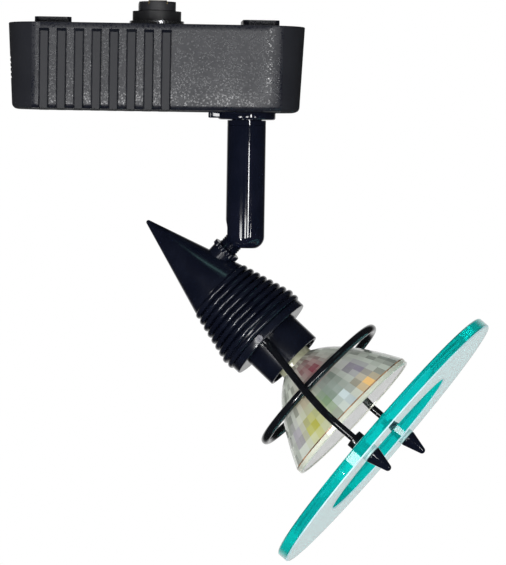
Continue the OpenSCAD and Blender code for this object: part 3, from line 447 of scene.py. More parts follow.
class Finishes:
    """The light's finishes; colours are linear."""

    HOUSING = Finish(
        "housing_plastic", (0.006, 0.007, 0.013), (0.009, 0.01, 0.016), 0.28, polish=0.25,
        patch=9.0, grain=0.8, relief=0.003, texture=Texture.PEBBLE)
    # Darker matte copy of the housing plastic for its corners and underside: painted shade.
    SHADED_MATTE = Finish(
        "shaded_matte_plastic", (0.004, 0.005, 0.01), (0.006, 0.007, 0.012), 0.9, polish=0.04, patch=9.0, grain=0.5,
        relief=0.02)
    # Rib faces: the housing plastic without its grain and rougher, which is real, and a shade darker, which
    # is painted shade.
    SHADED_RIB = Finish(
        "shaded_rib_plastic", (0.005, 0.006, 0.011), (0.008, 0.009, 0.014), 0.52, polish=0.1, patch=9.0, grain=0.6,
        relief=0.01)
    ADAPTER = Finish(
        "adapter_plastic", (0.013, 0.013, 0.016), (0.02, 0.02, 0.022), 0.45, polish=0.08,
        patch=7.0, grain=0.5, relief=0.01, texture=Texture.PEBBLE)
    GLOSS = Finish(
        "gloss_black", (0.003, 0.0042, 0.01), (0.0045, 0.0056, 0.0125), 0.08, polish=0.02,
        coat=0.3, patch=8.0, grain=1.6, relief=0.0005)
    SATIN = Finish(
        "satin_black", (0.0025, 0.0035, 0.009), (0.0045, 0.006, 0.013), 0.2, polish=0.05,
        coat=0.1, patch=7.0, grain=0.5, relief=0.003)
    ROD = Finish(
        "rod_black", (0.0035, 0.004, 0.0055), (0.006, 0.0065, 0.009), 0.15, polish=0.04,
        coat=0.2, patch=5.0, grain=0.8, relief=0.004)
    ZINC = Finish(
        "zinc_steel", (0.55, 0.56, 0.58), (0.66, 0.67, 0.68), 0.26, polish=0.08, metallic=1.0,
        patch=3.0, grain=0.5, relief=0.004, texture=Texture.BRUSHED, stretch=(1.0, 1.0, 6.0))
    OXIDE = Finish(
        "black_oxide_steel", (0.05, 0.05, 0.055), (0.09, 0.09, 0.1), 0.24, metallic=1.0, patch=2.0, grain=0.4)
    SPRING = Finish(
        "spring_steel", (0.36, 0.37, 0.39), (0.46, 0.47, 0.49), 0.3, metallic=1.0, patch=3.0, grain=0.4)
    BRASS = Finish(
        "brass", (0.62, 0.43, 0.15), (0.72, 0.53, 0.22), 0.27, metallic=1.0,
        patch=4.0, grain=0.5, texture=Texture.BRUSHED, stretch=(1.0, 5.0, 1.0))
    ALUMINIUM = Finish(
        "aluminium", (0.68, 0.69, 0.7), (0.76, 0.77, 0.78), 0.34, metallic=1.0,
        patch=5.0, grain=0.6, texture=Texture.BRUSHED, stretch=(6.0, 1.0, 6.0))
    BOARD = Finish(
        "board_green", (0.02, 0.09, 0.035), (0.03, 0.13, 0.05), 0.36, coat=0.4, patch=4.0, grain=0.6)
    FERRITE = Finish(
        "ferrite", (0.035, 0.035, 0.037), (0.055, 0.055, 0.056), 0.62, patch=3.0, grain=0.3, relief=0.02)
    COPPER = Finish(
        "copper_wire", (0.5, 0.17, 0.06), (0.62, 0.24, 0.1), 0.24, metallic=0.8, coat=0.6, patch=4.0)
    CAPACITOR = Finish(
        "capacitor_red", (0.22, 0.03, 0.018), (0.3, 0.045, 0.025), 0.28, coat=0.3, patch=4.0)
    TRANSISTOR = Finish(
        "transistor_black", (0.018, 0.018, 0.02), (0.03, 0.03, 0.032), 0.55,
        patch=3.0, grain=0.3, relief=0.01)
    TERMINAL = Finish(
        "terminal_blue", (0.03, 0.13, 0.26), (0.045, 0.17, 0.32), 0.4, patch=4.0, grain=0.4)
    LEAD = Finish(
        "lead_insulation", (0.66, 0.62, 0.5), (0.74, 0.7, 0.58), 0.42, patch=3.0, grain=0.4)
    NYLON = Finish(
        "nylon", (0.66, 0.7, 0.68), (0.76, 0.79, 0.77), 0.38, patch=3.0, grain=0.4)
    CERAMIC = Finish(
        "ceramic", (0.6, 0.62, 0.55), (0.7, 0.71, 0.65), 0.3, coat=0.4, patch=4.0, grain=0.5, relief=0.01)
    NECK = Finish(
        "neck_ceramic", (0.3, 0.31, 0.2), (0.46, 0.45, 0.34), 0.14, coat=0.6,
        patch=3.0, grain=0.5, relief=0.01)
    LAMP_GLASS = Glass(
        "lamp_glass", (0.93, 0.96, 0.95), (0.97, 0.98, 0.98), 0.01, polish=0.02, patch=9.0, relief=0.001)
    REFLECTOR = MirrorGlass(
        "dichroic_glass", (0.4, 0.44, 0.4), (0.55, 0.6, 0.57), 0.12, polish=0.08, metallic=0.1, coat=0.5,
        patch=4.0, grain=0.8, relief=0.01)
    TEAL = Glass(
        "teal_glass", (0.002, 0.6, 0.53), (0.002, 0.54, 0.52), 0.01, polish=0.02, patch=30.0, relief=0.0005,
        index=1.52, clear=0.7)
    FACE = Glass(
        "clear_face", (0.27, 0.75, 0.77), (0.33, 0.79, 0.81), 0.01, polish=0.02, patch=30.0, relief=0.0005,
        index=1.52, clear=0.9)
    # Pale opaque finish on two glass bevels: a painted highlight line.
    SEAM = Finish(
        "painted_bevel_glint", (0.5, 0.72, 0.78), (0.58, 0.8, 0.85), 0.3, patch=6.0, grain=0.4, relief=0.002)
    CLEAR_NYLON = Glass(
        "clear_nylon", (0.62, 0.84, 0.84), (0.7, 0.9, 0.9), 0.2, polish=0.05,
        patch=3.0, relief=0.004, clear=0.2)
    FLOOR = FloorPaint("floor_paint", (0.8, 0.8, 0.8), (0.84, 0.84, 0.84), 0.6, polish=0.1, patch=60.0)


# Shapes


@dataclass(frozen=True)
class Axis:
    """A turning line: its origin in metres and three unit directions at right angles."""

    origin: Array
    across: Array
    aside: Array
    along: Array

    def place(self, x: Array | float, y: Array | float, z: Array | float) -> Array:
        """Points in metres of local x, y and z in millimetres, which are stretched to one shape."""
        x, y, z = np.broadcast_arrays(*(np.asarray(v, float)[..., None] for v in (x, y, z)))
        return self.origin + MM * (x * self.across + y * self.aside + z * self.along)

    def polar(self, radius: Array | float, clock: Array, z: Array | float) -> Array:
        """Points in metres at a radius and a height in millimetres, by their angle round the line."""
        return self.place(radius * np.cos(clock), radius * np.sin(clock), z)

    def moved(self, x: float = 0.0, y: float = 0.0, z: float = 0.0) -> "Axis":
        """The same directions from another origin."""
        return replace(self, origin=self.place(x, y, z))

    def turned(self, angle: float) -> "Axis":
        """The axis turned about its own line by an angle in degrees."""
        c, s = cos(radians(angle)), sin(radians(angle))
        return replace(self, across=c * self.across + s * self.aside, aside=c * self.aside - s * self.across)

    def leaned(self, angle: float) -> "Axis":
        """The axis leaned towards its across direction by an angle in degrees."""
        c, s = cos(radians(angle)), sin(radians(angle))
        return replace(self, across=c * self.across - s * self.along, along=c * self.along + s * self.across)

    def rolled(self) -> "Axis":
        """The axis whose line is this one's across direction."""
        return replace(self, across=self.aside, aside=self.along, along=self.across)


class Shape:
    """Closed surfaces gathered for one piece."""

    def __init__(self) -> None:
        """Starts with nothing in it."""
        self.points: list[Array] = []
        self.faces: list[Array] = []
        self.slots: list[Array] = []
        self.count = 0

    def grid(self, points: Array, loop: bool = False, slots: Array | int = 0) -> "Shape":
        """Adds a skin of quads over rows of points; each row closes on itself.

        Args:
            points: Rows by columns by 3.
            loop: Whether the last row joins the first.
            slots: The material of each quad, or of each band between two rows, or one for all.

        Returns:
            This shape.
        """
        rows, columns = points.shape[:2]
        bands = np.arange(rows if loop else rows - 1)[:, None]
        here, there = bands * columns, (bands + 1) % rows * columns
        column = np.arange(columns)[None, :]
        after = (column + 1) % columns
        quads = [here + column, here + after, there + after, there + column]
        self.points.append(points.reshape(-1, 3))
        self.faces.append(np.stack(quads, -1).reshape(-1, 4) + self.count)
        given = np.asarray(slots)
        given = given if given.ndim == 2 else given.reshape(-1, 1)
        self.slots.append(np.broadcast_to(given, (len(bands), columns)).reshape(-1))
        self.count += rows * columns
        return self

    def block(self, axis: Axis, low: Sequence[float], high: Sequence[float]) -> "Shape":
        """Adds a box, as four rows of which the outer ones are its closed ends.

        Args:
            axis: What the corners are measured from.
            low: The lowest corner.
            high: The highest corner.

        Returns:
            This shape.
        """
        x = np.array([low[0], high[0], high[0], low[0]])
        y = np.array([low[1], low[1], high[1], high[1]])
        middle = np.full(4, x.mean()), np.full(4, y.mean())
        rows = [(*middle, low[2]), (x, y, low[2]), (x, y, high[2]), (*middle, high[2])]
        return self.grid(np.stack([axis.place(*row) for row in rows]))

    def lathe(self, profile: Array, axis: Axis, segments: int = 96, loop: bool = False,
              slots: Array | int = 0) -> "Shape":
        """Adds a turned surface: each (radius, height) of the profile runs round the axis."""
        return self.grid(axis.polar(profile[:, :1], full_turn(segments), profile[:, 1:]), loop, slots)

    def rod(self, axis: Axis, radius: float, low: float, high: float, segments: int = 48) -> "Shape":
        """Adds a plain cylinder, as a tool for cutting or joining."""
        outline = np.array([(0.0, low), (radius, low), (radius, high), (0.0, high)])
        return self.lathe(outline, axis, segments)

    def tube(self, path: Array, radius: float, side: Array, sides: int = 16) -> "Shape":
        """Adds a round tube: at each point a ring stands square to the path, and both ends are capped.

        Args:
            path: Points in metres.
            radius: Radius in millimetres.
            side: A direction that the path never runs along.
            sides: Points in a ring.

        Returns:
            This shape.
        """
        run = unit(np.gradient(path, axis=0))
        first = unit(np.cross(run, side))[:, None]
        second = np.cross(run, first[:, 0])[:, None]
        clock = full_turn(sides)[None, :, None]
        rings = path[:, None] + radius * MM * (np.cos(clock) * first + np.sin(clock) * second)
        caps = [np.broadcast_to(path[end], (1, sides, 3)) for end in (0, -1)]
        return self.grid(np.concatenate([caps[0], rings, caps[1]]))

    def mesh(self, name: str) -> bpy.types.Mesh:
        """Makes the mesh, with doubles merged and faces turned outwards.

        Args:
            name: The mesh's name.

        Returns:
            The mesh.
        """
        made = bpy.data.meshes.new(name)
        made.from_pydata(np.concatenate(self.points).tolist(), [], np.concatenate(self.faces).tolist())
        made.polygons.foreach_set("material_index", np.concatenate(self.slots).astype(np.int32))
        work = bmesh.new()
        work.from_mesh(made)
        bmesh.ops.remove_doubles(work, verts=work.verts, dist=MERGE)
        bmesh.ops.recalc_face_normals(work, faces=work.faces)
        work.to_mesh(made)
        work.free()
        return made


def unit(vectors: Array) -> Array:
    """The vectors at length 1."""
    return vectors / np.linalg.norm(vectors, axis=-1, keepdims=True)


def full_turn(steps: int) -> Array:
    """Even angles of a full turn, without its end."""
    return np.linspace(0.0, 2.0 * pi, steps, endpoint=False)


def rounded(corners: Sequence[Point], steps: int = 6) -> Array:
    """Outline through corners that are each rounded by an arc touching both sides.

    The arc's centre lies on the corner's bisector, and its points turn evenly from one touching
    point to the other. The first and last corner of an open outline have radius 0.

    Args:
        corners: Radius, height and rounding of each corner.
        steps: Points in an arc.

    Returns:
        The outline's points, in pairs.
    """
    table = np.array(corners, float)
    at, radius = table[:, :2], table[:, 2:]
    back = unit(np.roll(at, 1, 0) - at)
    on = unit(np.roll(at, -1, 0) - at)
    half = np.arccos(np.clip(np.sum(back * on, -1, keepdims=True), -STRAIGHT, STRAIGHT)) / 2.0
    reach = radius / np.tan(half)
    centre = at + unit(back + on + TINY) * radius / np.sin(half)
    sweep = pi - 2.0 * half
    share = np.linspace(0.0, 1.0, steps)[None, :, None]
    start, stop = (at + side * reach - centre for side in (back, on))
    sweep = sweep[:, :, None]
    arcs = np.sin((1.0 - share) * sweep) * start[:, None] + np.sin(share * sweep) * stop[:, None]
    return (centre[:, None] + arcs / np.sin(sweep)).reshape(-1, 2)


def ring_loop(inner: float, outer: float, low: float, high: float, edge: float) -> Array:
    """Closed section of a ring with rounded edges, for turning."""
    return rounded([(inner, low, edge), (outer, low, edge), (outer, high, edge), (inner, high, edge)])


def spline(points: Array, steps: int = 12) -> Array:
    """Smooth run through a few points: a cubic between each pair, steered by the points beside it.

    Args:
        points: The points, as rows.
        steps: Points from one to the next.

    Returns:
        The run's points, as rows.
    """
    before = np.concatenate([points[:1], points[:-2]])[:, None]
    start, stop = points[:-1, None], points[1:, None]
    after = np.concatenate([points[2:], points[-1:]])[:, None]
    u = np.linspace(0.0, 1.0, steps, endpoint=False)[None, :, None]
    run = 0.5 * (2 * start + (stop - before) * u + (2 * before - 5 * start + 4 * stop - after) * u**2
                 + (3 * start - before - 3 * stop + after) * u**3)
    return np.concatenate([run.reshape(-1, points.shape[1]), points[-1:]])


def lead_pair(route: Sequence[Point], axis: Axis, radius: float, side: Array) -> Shape:
    """Two leads side by side: a smooth tube through a route, and its mirror image in y.

    Args:
        route: Points on the axis, in millimetres.
        axis: What the route is measured from.
        radius: Radius of a lead in millimetres.
        side: A direction that the route never runs along.

    Returns:
        Both leads.
    """
    leads = Shape()
    for mirror in (-1.0, 1.0):
        path = spline(np.array(route) * (1.0, mirror, 1.0))
        leads.tube(axis.place(*path.T), radius, side)
    return leads


def linked(name: str, data: bpy.types.ID) -> bpy.types.Object:
    """Makes an object and links it to the scene.

    Args:
        name: The object's name.
        data: Its mesh, camera or lamp.

    Returns:
        The object.
    """
    made = bpy.data.objects.new(name, data)
    bpy.context.scene.collection.objects.link(made)
    return made


class Rig:
    """The loaded frame, with its turning lines and the ways to add and dress pieces."""

    def __init__(self, frame: Mapping[str, object]) -> None:
        """Finds the stem's, the stud's and the head's lines from the joints and the solids.

        Args:
            frame: The loaded frame, with its nodes and joints.
        """
        self.nodes = frame["nodes"]
        joints = {joint["name"]: joint for joint in frame["joints"]}
        ball = np.array(joints["head_tilt"]["pos_m"], float)
        side = unit(np.array(joints["head_tilt"]["axis"], float))
        stud = unit(np.array(joints["head_turn"]["axis"], float))
        beam = np.cross(stud, side)
        up = np.array([0.0, 0.0, 1.0])
        self.world = Axis(np.zeros(3), np.array([1.0, 0.0, 0.0]), np.array([0.0, 1.0, 0.0]), up)
        self.stem = Axis(ball, np.cross(side, up), side, up)
        self.stud = Axis(ball, beam, np.cross(stud, beam), stud)
        glass = self.points("lamp_front_glass")
        middle = (glass.min(0) + glass.max(0)) / 2.0
        tip = ((self.points("cone_shell") - middle) @ beam).min()
        self.head = Axis(middle + beam * tip, stud, side, beam)

    def points(self, node: str) -> Array:
        """Reads a CAD node's points.

        Args:
            node: The node's name.

        Returns:
            The points in metres, as rows.
        """
        vertices = self.nodes[node].data.vertices
        flat = np.empty(len(vertices) * 3)
        vertices.foreach_get("co", flat)
        return flat.reshape(-1, 3)

    def span(self, node: str, axis: Axis) -> tuple[float, float]:
        """How far a node reaches along an axis, in millimetres from its origin."""
        along = (self.points(node) - axis.origin) @ axis.along / MM
        return float(along.min()), float(along.max())

    def dress(self, finish: Finish, *nodes: str) -> None:
        """Gives CAD nodes a finish.

        Args:
            finish: The finish.
            *nodes: The nodes' names.
        """
        for node in nodes:
            slots = self.nodes[node].data.materials
            slots.clear()
            slots.append(finish.material())
            LOG.info("%s is dressed in %s", node, finish.name)

    def add(
        self,
        name: str,
        shape: Shape,
        finishes: Sequence[Finish],
        body: Body,
        node: str,
        slot: str,
        cuts: Sequence[tuple[Cut, Shape]] = (),
        crease: float = 34.0,
    ) -> bpy.types.Object:
        """Adds a piece that stands for a CAD node.

        Args:
            name: The piece's name.
            shape: Its surfaces.
            finishes: Its finishes, in the order of the shape's slots.
            body: The group that it moves with.
            node: The CAD node that it stands for.
            slot: The record's slot that names its finish; not used.
            cuts: Shapes that are joined to it or cut away, in order.
            crease: Angle in degrees past which an edge stays sharp.

        Returns:
            The piece.
        """
        piece = linked(name, shape.mesh(name))
        for finish in finishes:
            piece.data.materials.append(finish.material())
        for cut, tool in cuts:
            self._cut(piece, cut, tool)
        piece.data.shade_smooth()
        piece.data.set_sharp_from_angle(angle=radians(crease))
        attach(piece, body.value)
        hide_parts(node)
        LOG.info("%s stands for %s with %d faces", name, node, len(piece.data.polygons))
        return piece

    @staticmethod
    def _cut(piece: bpy.types.Object, cut: Cut, tool: Shape) -> None:
        """Joins a shape to a piece or cuts it away.

        Args:
            piece: The piece, whose mesh gives way to the result.
            cut: What the shape does.
            tool: The shape.
        """
        helper = linked("cutter", tool.mesh("cutter"))
        step = piece.modifiers.new("cut", "BOOLEAN")
        step.operation = cut.value
        step.solver = "EXACT"
        step.object = helper
        shaped = piece.evaluated_get(bpy.context.evaluated_depsgraph_get())
        result = bpy.data.meshes.new_from_object(shaped)
        piece.modifiers.clear()
        worn, piece.data = piece.data, result
        result.name = piece.name
        for spent in (worn, helper.data):
            bpy.data.meshes.remove(spent)


# Sub-assemblies


@dataclass
class Housing:
    """Ribbed transformer box with a cover, hung under the track."""

    rig: Rig
    length: float = 97.0
    width: float = 36.0
    rim: float = -2.0
    bottom: float = -30.0
    wall: float = 2.0
    corner: float = 12.0
    draft: float = 3.0
    edge: float = 1.6
    taper: float = 1.0
    lip: float = 0.35
    lip_ease: float = 0.1
    fillet: float = 0.6
    under_inset: float = 5.0
    under_corner: float = 7.0
    rim_wall: float = 1.0
    ledge: float = 2.4
    ribs: int = 8
    rib_width: float = 3.1
    rib_pitch: float = 5.66
    rib_start: float = 11.7
    rib_drop: float = 2.0
    rib_proud: float = 1.0
    rib_flank: float = 0.2
    rib_edge: float = 0.3
    rib_foot: float = 0.35
    rib_shoulder: float = 0.82
    rib_least: float = 0.8
    front_past: float = 3.0
    end_shares: tuple[float, ...] = (0.7, 0.35, 0.0)
    arc_steps: int = 12
    side_steps: int = 6
    plain_steps: int = 9
    vents: int = 5
    vent_width: float = 16.0
    vent_height: float = 0.75
    vent_pitch: float = 1.6
    vent_drop: float = 11.0
    vent_depth: float = 5.0
    hole: float = 7.05
    hole_depth: float = 3.0
    boss: float = 2.8
    boss_bore: float = 1.1
    boss_depth: float = 7.0
    boss_x: float = 40.5
    boss_y: float = 10.6
    post: float = 2.0
    post_height: float = 3.0
    peg: float = 1.0
    peg_height: float = 4.6
    post_inset: float = 4.0
    sunk: float = 0.5

    def build(self) -> None:
        """Builds the ribbed shell, and dresses the cover and its screws."""
        points, slots = self._skin()
        shell = Shape().grid(points, slots=slots)
        finishes = [Finishes.HOUSING, Finishes.SHADED_RIB, Finishes.SHADED_MATTE]
        self.rig.add("ribbed_shell", shell, finishes, Body.BASE, "housing_shell", "housing_plastic",
                     [(Cut.JOIN, self._posts()), (Cut.AWAY, self._bores())], crease=24.0)
        self.rig.dress(Finishes.HOUSING, "top_cover")
        self.rig.dress(Finishes.ZINC, "cover_screws")

    def _corners(self) -> list[tuple[Axis, Axis]]:
        """Finds the upright lines in the box's four corners.

        Returns:
            For each corner, the line of its screw boss and that of the board's peg.
        """
        board = self.rig.points("circuit_board") / MM
        low, high = board.min(0) + self.post_inset, board.max(0) - self.post_inset
        world = self.rig.world
        return [(world.moved(x * self.boss_x, y * self.boss_y),
                 world.moved((low if x < 0 else high)[0], (low if y < 0 else high)[1]))
                for x in (-1, 1) for y in (-1, 1)]

    def _posts(self) -> Shape:
        """Screw bosses, and stepped posts that the board sits on, all sunk a little into the floor.

        Returns:
            The shape that is joined to the shell.
        """
        floor = self.bottom + self.wall
        foot, step, top = floor - self.sunk, floor + self.post_height, floor + self.peg_height
        outline = np.array([(0.0, foot), (self.post, foot), (self.post, step), (self.peg, step),
                            (self.peg, top), (0.0, top)])
        posts = Shape()
        for boss, peg in self._corners():
            posts.rod(boss, self.boss, foot, self.rim - self.ledge)
            posts.lathe(outline, peg, segments=32)
        return posts

    def _bores(self) -> Shape:
        """The stem's hole, the bosses' bores and the vents in the left end.

        Returns:
            The shape that is cut from the shell.
        """
        under = self.bottom - self.rig.stem.origin[2] / MM
        bores = Shape().rod(self.rig.stem, self.hole, under - PAST, under + self.hole_depth)
        top = self.rim - self.ledge
        for boss, _ in self._corners():
            bores.rod(boss, self.boss_bore, top - self.boss_depth, top + PAST, segments=24)
        end, half = -self.length / 2, self.vent_width / 2
        for k in range(self.vents):
            top = self.rim - self.vent_drop - k * self.vent_pitch
            bores.block(self.rig.world, (end - PAST, -half, top - self.vent_height),
                        (end + self.vent_depth, half, top))
        return bores

    def _skin(self) -> tuple[Array, Array]:
        """Rows of the shell from the seam under it, up the outside, over the rim and down the inside.

        A row is a rounded rectangle at height z, drawn in by the draft and an inset. Columns run
        along the front at fixed x, round the corners by angle, and back in mirror image. A rib
        lifts the columns in its width to a plane in front of the wall.

        Returns:
            The rows' points, and each quad's slot; the corners and the underside take a darker matte copy of
            the plastic, which is painted shade.
        """
        z, inset, corner, proud = self._levels()
        lean = (self.rim - z) * tan(radians(self.draft))
        half_l = np.maximum(self.length / 2 - lean - inset, 1.0)
        half_w = np.maximum(self.width / 2 - lean - inset, 0.0)
        radius = np.minimum(corner, half_w)
        x, lift = self._front()
        flat, core = half_l - radius, half_w - radius
        front_x = np.clip(x, -half_l, half_l)
        past = np.maximum(np.abs(front_x) - flat, 0.0)
        front_y = -core - np.sqrt(np.maximum(radius**2 - past**2, 0.0))
        face = -(self.width / 2 - lean) - proud
        front_y = front_y + np.where(proud > 0.0, lift, 0.0) * (face - front_y)
        join = np.arcsin(np.clip((np.max(x) - flat) / np.maximum(radius, TINY), 0.0, 1.0))
        turn = join + (pi / 2 - join) * np.linspace(0.0, 1.0, self.arc_steps)[1:]
        arc_x = np.maximum(flat + radius * np.sin(turn), np.minimum(np.max(x), half_l))
        arc_y = -core - radius * np.cos(turn)
        end_y = -core * np.array([self.end_shares])
        end_x = np.broadcast_to(half_l, end_y.shape)
        right = np.stack([np.concatenate([arc_x, end_x], 1), np.concatenate([arc_y, end_y], 1)], -1)
        left = right[:, ::-1] * np.array([-1.0, 1.0])
        half = np.concatenate([left, np.stack([front_x, front_y], -1), right], 1)
        whole = np.concatenate([half, half[:, -2:0:-1] * np.array([1.0, -1.0])], 1)
        # Rib columns take the darker rib copy of the plastic, partly painted shade.
        kind = np.pad(np.where(lift > self.rib_least, Skin.SHADED_RIB, Skin.WALL), right.shape[1])
        arcs, ends = arc_x.shape[1], end_x.shape[1]
        # Corner and underside columns take the darker matte copy of the plastic, as painted shade.
        kind[ends:ends + arcs] = kind[-ends - arcs:-ends] = Skin.PLAIN
        kind = np.concatenate([kind, kind[-2:0:-1]])
        same = np.where(kind == np.roll(kind, -1), kind, Skin.WALL)
        raised = np.minimum(proud[:-1], proud[1:]) > 0.0
        slots = np.where(raised | (same == Skin.PLAIN), same, Skin.WALL)
        slots[:2] = Skin.PLAIN
        height = np.broadcast_to(z, whole.shape[:2])
        return self.rig.world.place(whole[..., 0], whole[..., 1], height), slots

    def _levels(self) -> tuple[Array, Array, Array, Array]:
        """Lists the rows of the shell; its lower edge is rounded by a quarter circle.

        Returns:
            Height, inset, corner radius and rib stand-out of each row, as columns.
        """
        bottom, rim, wall, edge = self.bottom, self.rim, self.wall, self.edge
        corner, lip, ease = self.corner, self.lip, self.lip_ease
        floor, under, inner = bottom + wall, corner - self.taper, corner - self.rim_wall
        rib_top, shelf, middle = rim - self.rib_drop, rim - self.ledge, self.width / 2
        straight = self.ledge * tan(radians(self.draft))
        rows = [(bottom, middle, 0.0, 0.0), (bottom, self.under_inset, self.under_corner, 0.0),
                (bottom, edge, under, self.rib_proud - self.rib_foot)]
        rows += [(bottom + edge * (1 - sin(a)), edge * (1 - cos(a)), under, self.rib_proud)
                 for a in np.radians([72.0, 54.0, 36.0, 18.0])]
        rows += [(z, 0.0, corner + self.taper * (z - rim) / (rim - bottom), self.rib_proud)
                 for z in np.linspace(bottom + edge, rib_top - self.rib_proud, self.side_steps)]
        rows += [(rib_top, 0.0, corner, 0.0), (rim - lip, 0.0, corner, 0.0), (rim - ease, ease, corner, 0.0),
                 (rim, lip, corner, 0.0), (rim, self.rim_wall - ease, inner, 0.0),
                 (rim - ease, self.rim_wall, inner, 0.0), (shelf, self.rim_wall - straight, inner, 0.0),
                 (shelf, wall, corner - wall, 0.0), (floor + self.fillet, wall, under - wall, 0.0),
                 (floor, wall + self.fillet, under - wall, 0.0), (floor, middle, 0.0, 0.0)]
        return tuple(np.array(column)[:, None] for column in zip(*rows))

    def _front(self) -> tuple[Array, Array]:
        """Lists the front's columns: some at each rib's edges, and even ones over the plain part.

        Returns:
            The columns' places along x, and how far each stands in a rib, from 0 to 1.
        """
        centres = -self.length / 2 + self.rib_start + self.rib_pitch * np.arange(self.ribs)
        outer = self.rib_width / 2 + self.rib_flank / 2
        shoulder = self.rib_width / 2 - self.rib_flank / 2
        crown = shoulder - self.rib_edge
        steps = np.array([-self.rib_pitch / 2, -outer, -shoulder, -crown, 0.0, crown, shoulder, outer])
        reach = self.length / 2 - self.corner + self.front_past
        plain = np.linspace(centres[-1] + self.rib_pitch / 2, reach, self.plain_steps)
        x = np.unique(np.concatenate([[-reach], (centres[:, None] + steps).ravel(), plain]))
        away = np.abs(x[:, None] - centres).min(1)
        return x, np.interp(away, [crown, shoulder, outer], [1.0, self.rib_shoulder, 0.0])


@dataclass
class TrackLock:
    """Quarter-turn lock that hangs the light on the track."""

    rig: Rig

    def build(self) -> None:
        """Dresses the lock's pieces."""
        self.rig.dress(Finishes.ADAPTER, "lock_turret")
        self.rig.dress(Finishes.BRASS, "contact_blades")
        self.rig.dress(Finishes.ZINC, "lock_lever", "turret_clip")


@dataclass
class Transformer:
    """Electronic transformer on a board inside the housing, with its leads."""

    rig: Rig
    turns: int = 12
    sweep: float = 300.0
    wire: float = 0.4
    spare: float = 0.45
    square: float = 0.45
    lead: float = 0.7
    pitch: float = 2.0
    tuck: float = 0.8
    approach: float = 1.6
    clip_gap: float = 0.05
    over: float = 4.4

    def build(self) -> None:
        """Winds the toroid, runs the leads and dresses the rest."""
        self._winding()
        self._input_leads()
        self._output_leads()
        self.rig.dress(Finishes.BOARD, "circuit_board")
        self.rig.dress(Finishes.FERRITE, "toroid_core")
        self.rig.dress(Finishes.CAPACITOR, "film_capacitors")
        self.rig.dress(Finishes.TRANSISTOR, "power_transistors")
        self.rig.dress(Finishes.ALUMINIUM, "heat_spreader")
        self.rig.dress(Finishes.TERMINAL, "terminal_block")

    def _winding(self) -> None:
        """One wire that runs round the core's section, a rounded square, while it walks round the ring."""
        core = self.rig.points("toroid_core") / MM
        low, high = core.min(0), core.max(0)
        centre = (low + high) / 2
        outer = (high[0] - low[0]) / 2
        inner = np.hypot(*(core - centre)[:, :2].T).min()
        u = np.linspace(0.0, 1.0, self.turns * COIL_STEPS + 1)
        turn, walk = 2 * pi * self.turns * u, radians(self.sweep) * u
        bend = [np.sign(f) * np.abs(f) ** self.square for f in (np.cos(turn), np.sin(turn))]
        r = (outer + inner) / 2 + bend[0] * ((outer - inner) / 2 + self.wire + self.spare)
        z = bend[1] * ((high[2] - low[2]) / 2 + self.wire + self.spare)
        path = self.rig.world.moved(*centre).polar(r, walk, z)
        off_path = np.array([0.0123, 0.0217, 1.0])
        coil = Shape().tube(path, self.wire, off_path, sides=12)
        self.rig.add("wound_wire", coil, [Finishes.COPPER], Body.BASE, "toroid_winding", "copper_wire")

    def _terminals(self) -> tuple[Array, Array, float, float]:
        """Measures the terminal block.

        Returns:
            Its lowest and highest corner, and the height and side of its entries.
        """
        block = self.rig.points("terminal_block") / MM
        low, high = block.min(0), block.max(0)
        return low, high, low[2] + (high[2] - low[2]) / 3, (high[1] - low[1]) / 4

    def _leads(self, name: str, node: str, route: Sequence[Point]) -> None:
        """Adds a pair of leads that stand for a node.

        Args:
            name: The piece's name.
            node: The CAD node.
            route: Points that one lead runs through.
        """
        world = self.rig.world
        leads = lead_pair(route, world, self.lead, world.aside + SKEW * world.along)
        self.rig.add(name, leads, [Finishes.LEAD], Body.BASE, node, "lead_insulation")

    def _input_leads(self) -> None:
        """Two leads from the track contacts, down the turret and over to the block, in easy bends."""
        low, _, entry, across = self._terminals()
        top = self.rig.points("film_capacitors").max(0) / MM
        start = self.rig.span("input_leads", self.rig.world)[1]
        clip = self.rig.span("turret_clip", self.rig.world)[0] - self.clip_gap
        inside = self.pitch / 2
        self._leads("track_leads", "input_leads", [
            (0.0, inside, start), (0.0, inside, clip - 1.0), (2.2, inside, clip - 4.4),
            (top[0] + (low[0] - top[0]) * 0.4, self.pitch, (top[2] + entry) / 2 + 2.0),
            (low[0] - self.approach, across, entry + 0.7), (low[0] + self.tuck, across, entry)])

    def _output_leads(self) -> None:
        """Two leads from the block, over the retaining nut and down the stem, in easy bends."""
        low, high, entry, across = self._terminals()
        stem = self.rig.stem.origin[0] / MM
        bush = self.rig.points("stem_bush").max(0)[2] / MM
        crown = self.rig.points("stem_retainer").max(0)[2] / MM + self.over
        stop = self.rig.span("output_leads", self.rig.world)[0]
        inside = self.pitch / 2
        self._leads("stem_leads", "output_leads", [
            (high[0] - self.tuck, across, entry), (high[0] + self.approach, across, entry + 0.8),
            ((low[0] + high[0]) / 4 + stem / 2 + 2.0, self.pitch * 0.8, crown + 0.4),
            (stem - 0.4, inside, crown), (stem, inside, bush),
            (stem, inside, (bush + stop) / 2), (stem, inside, stop)])


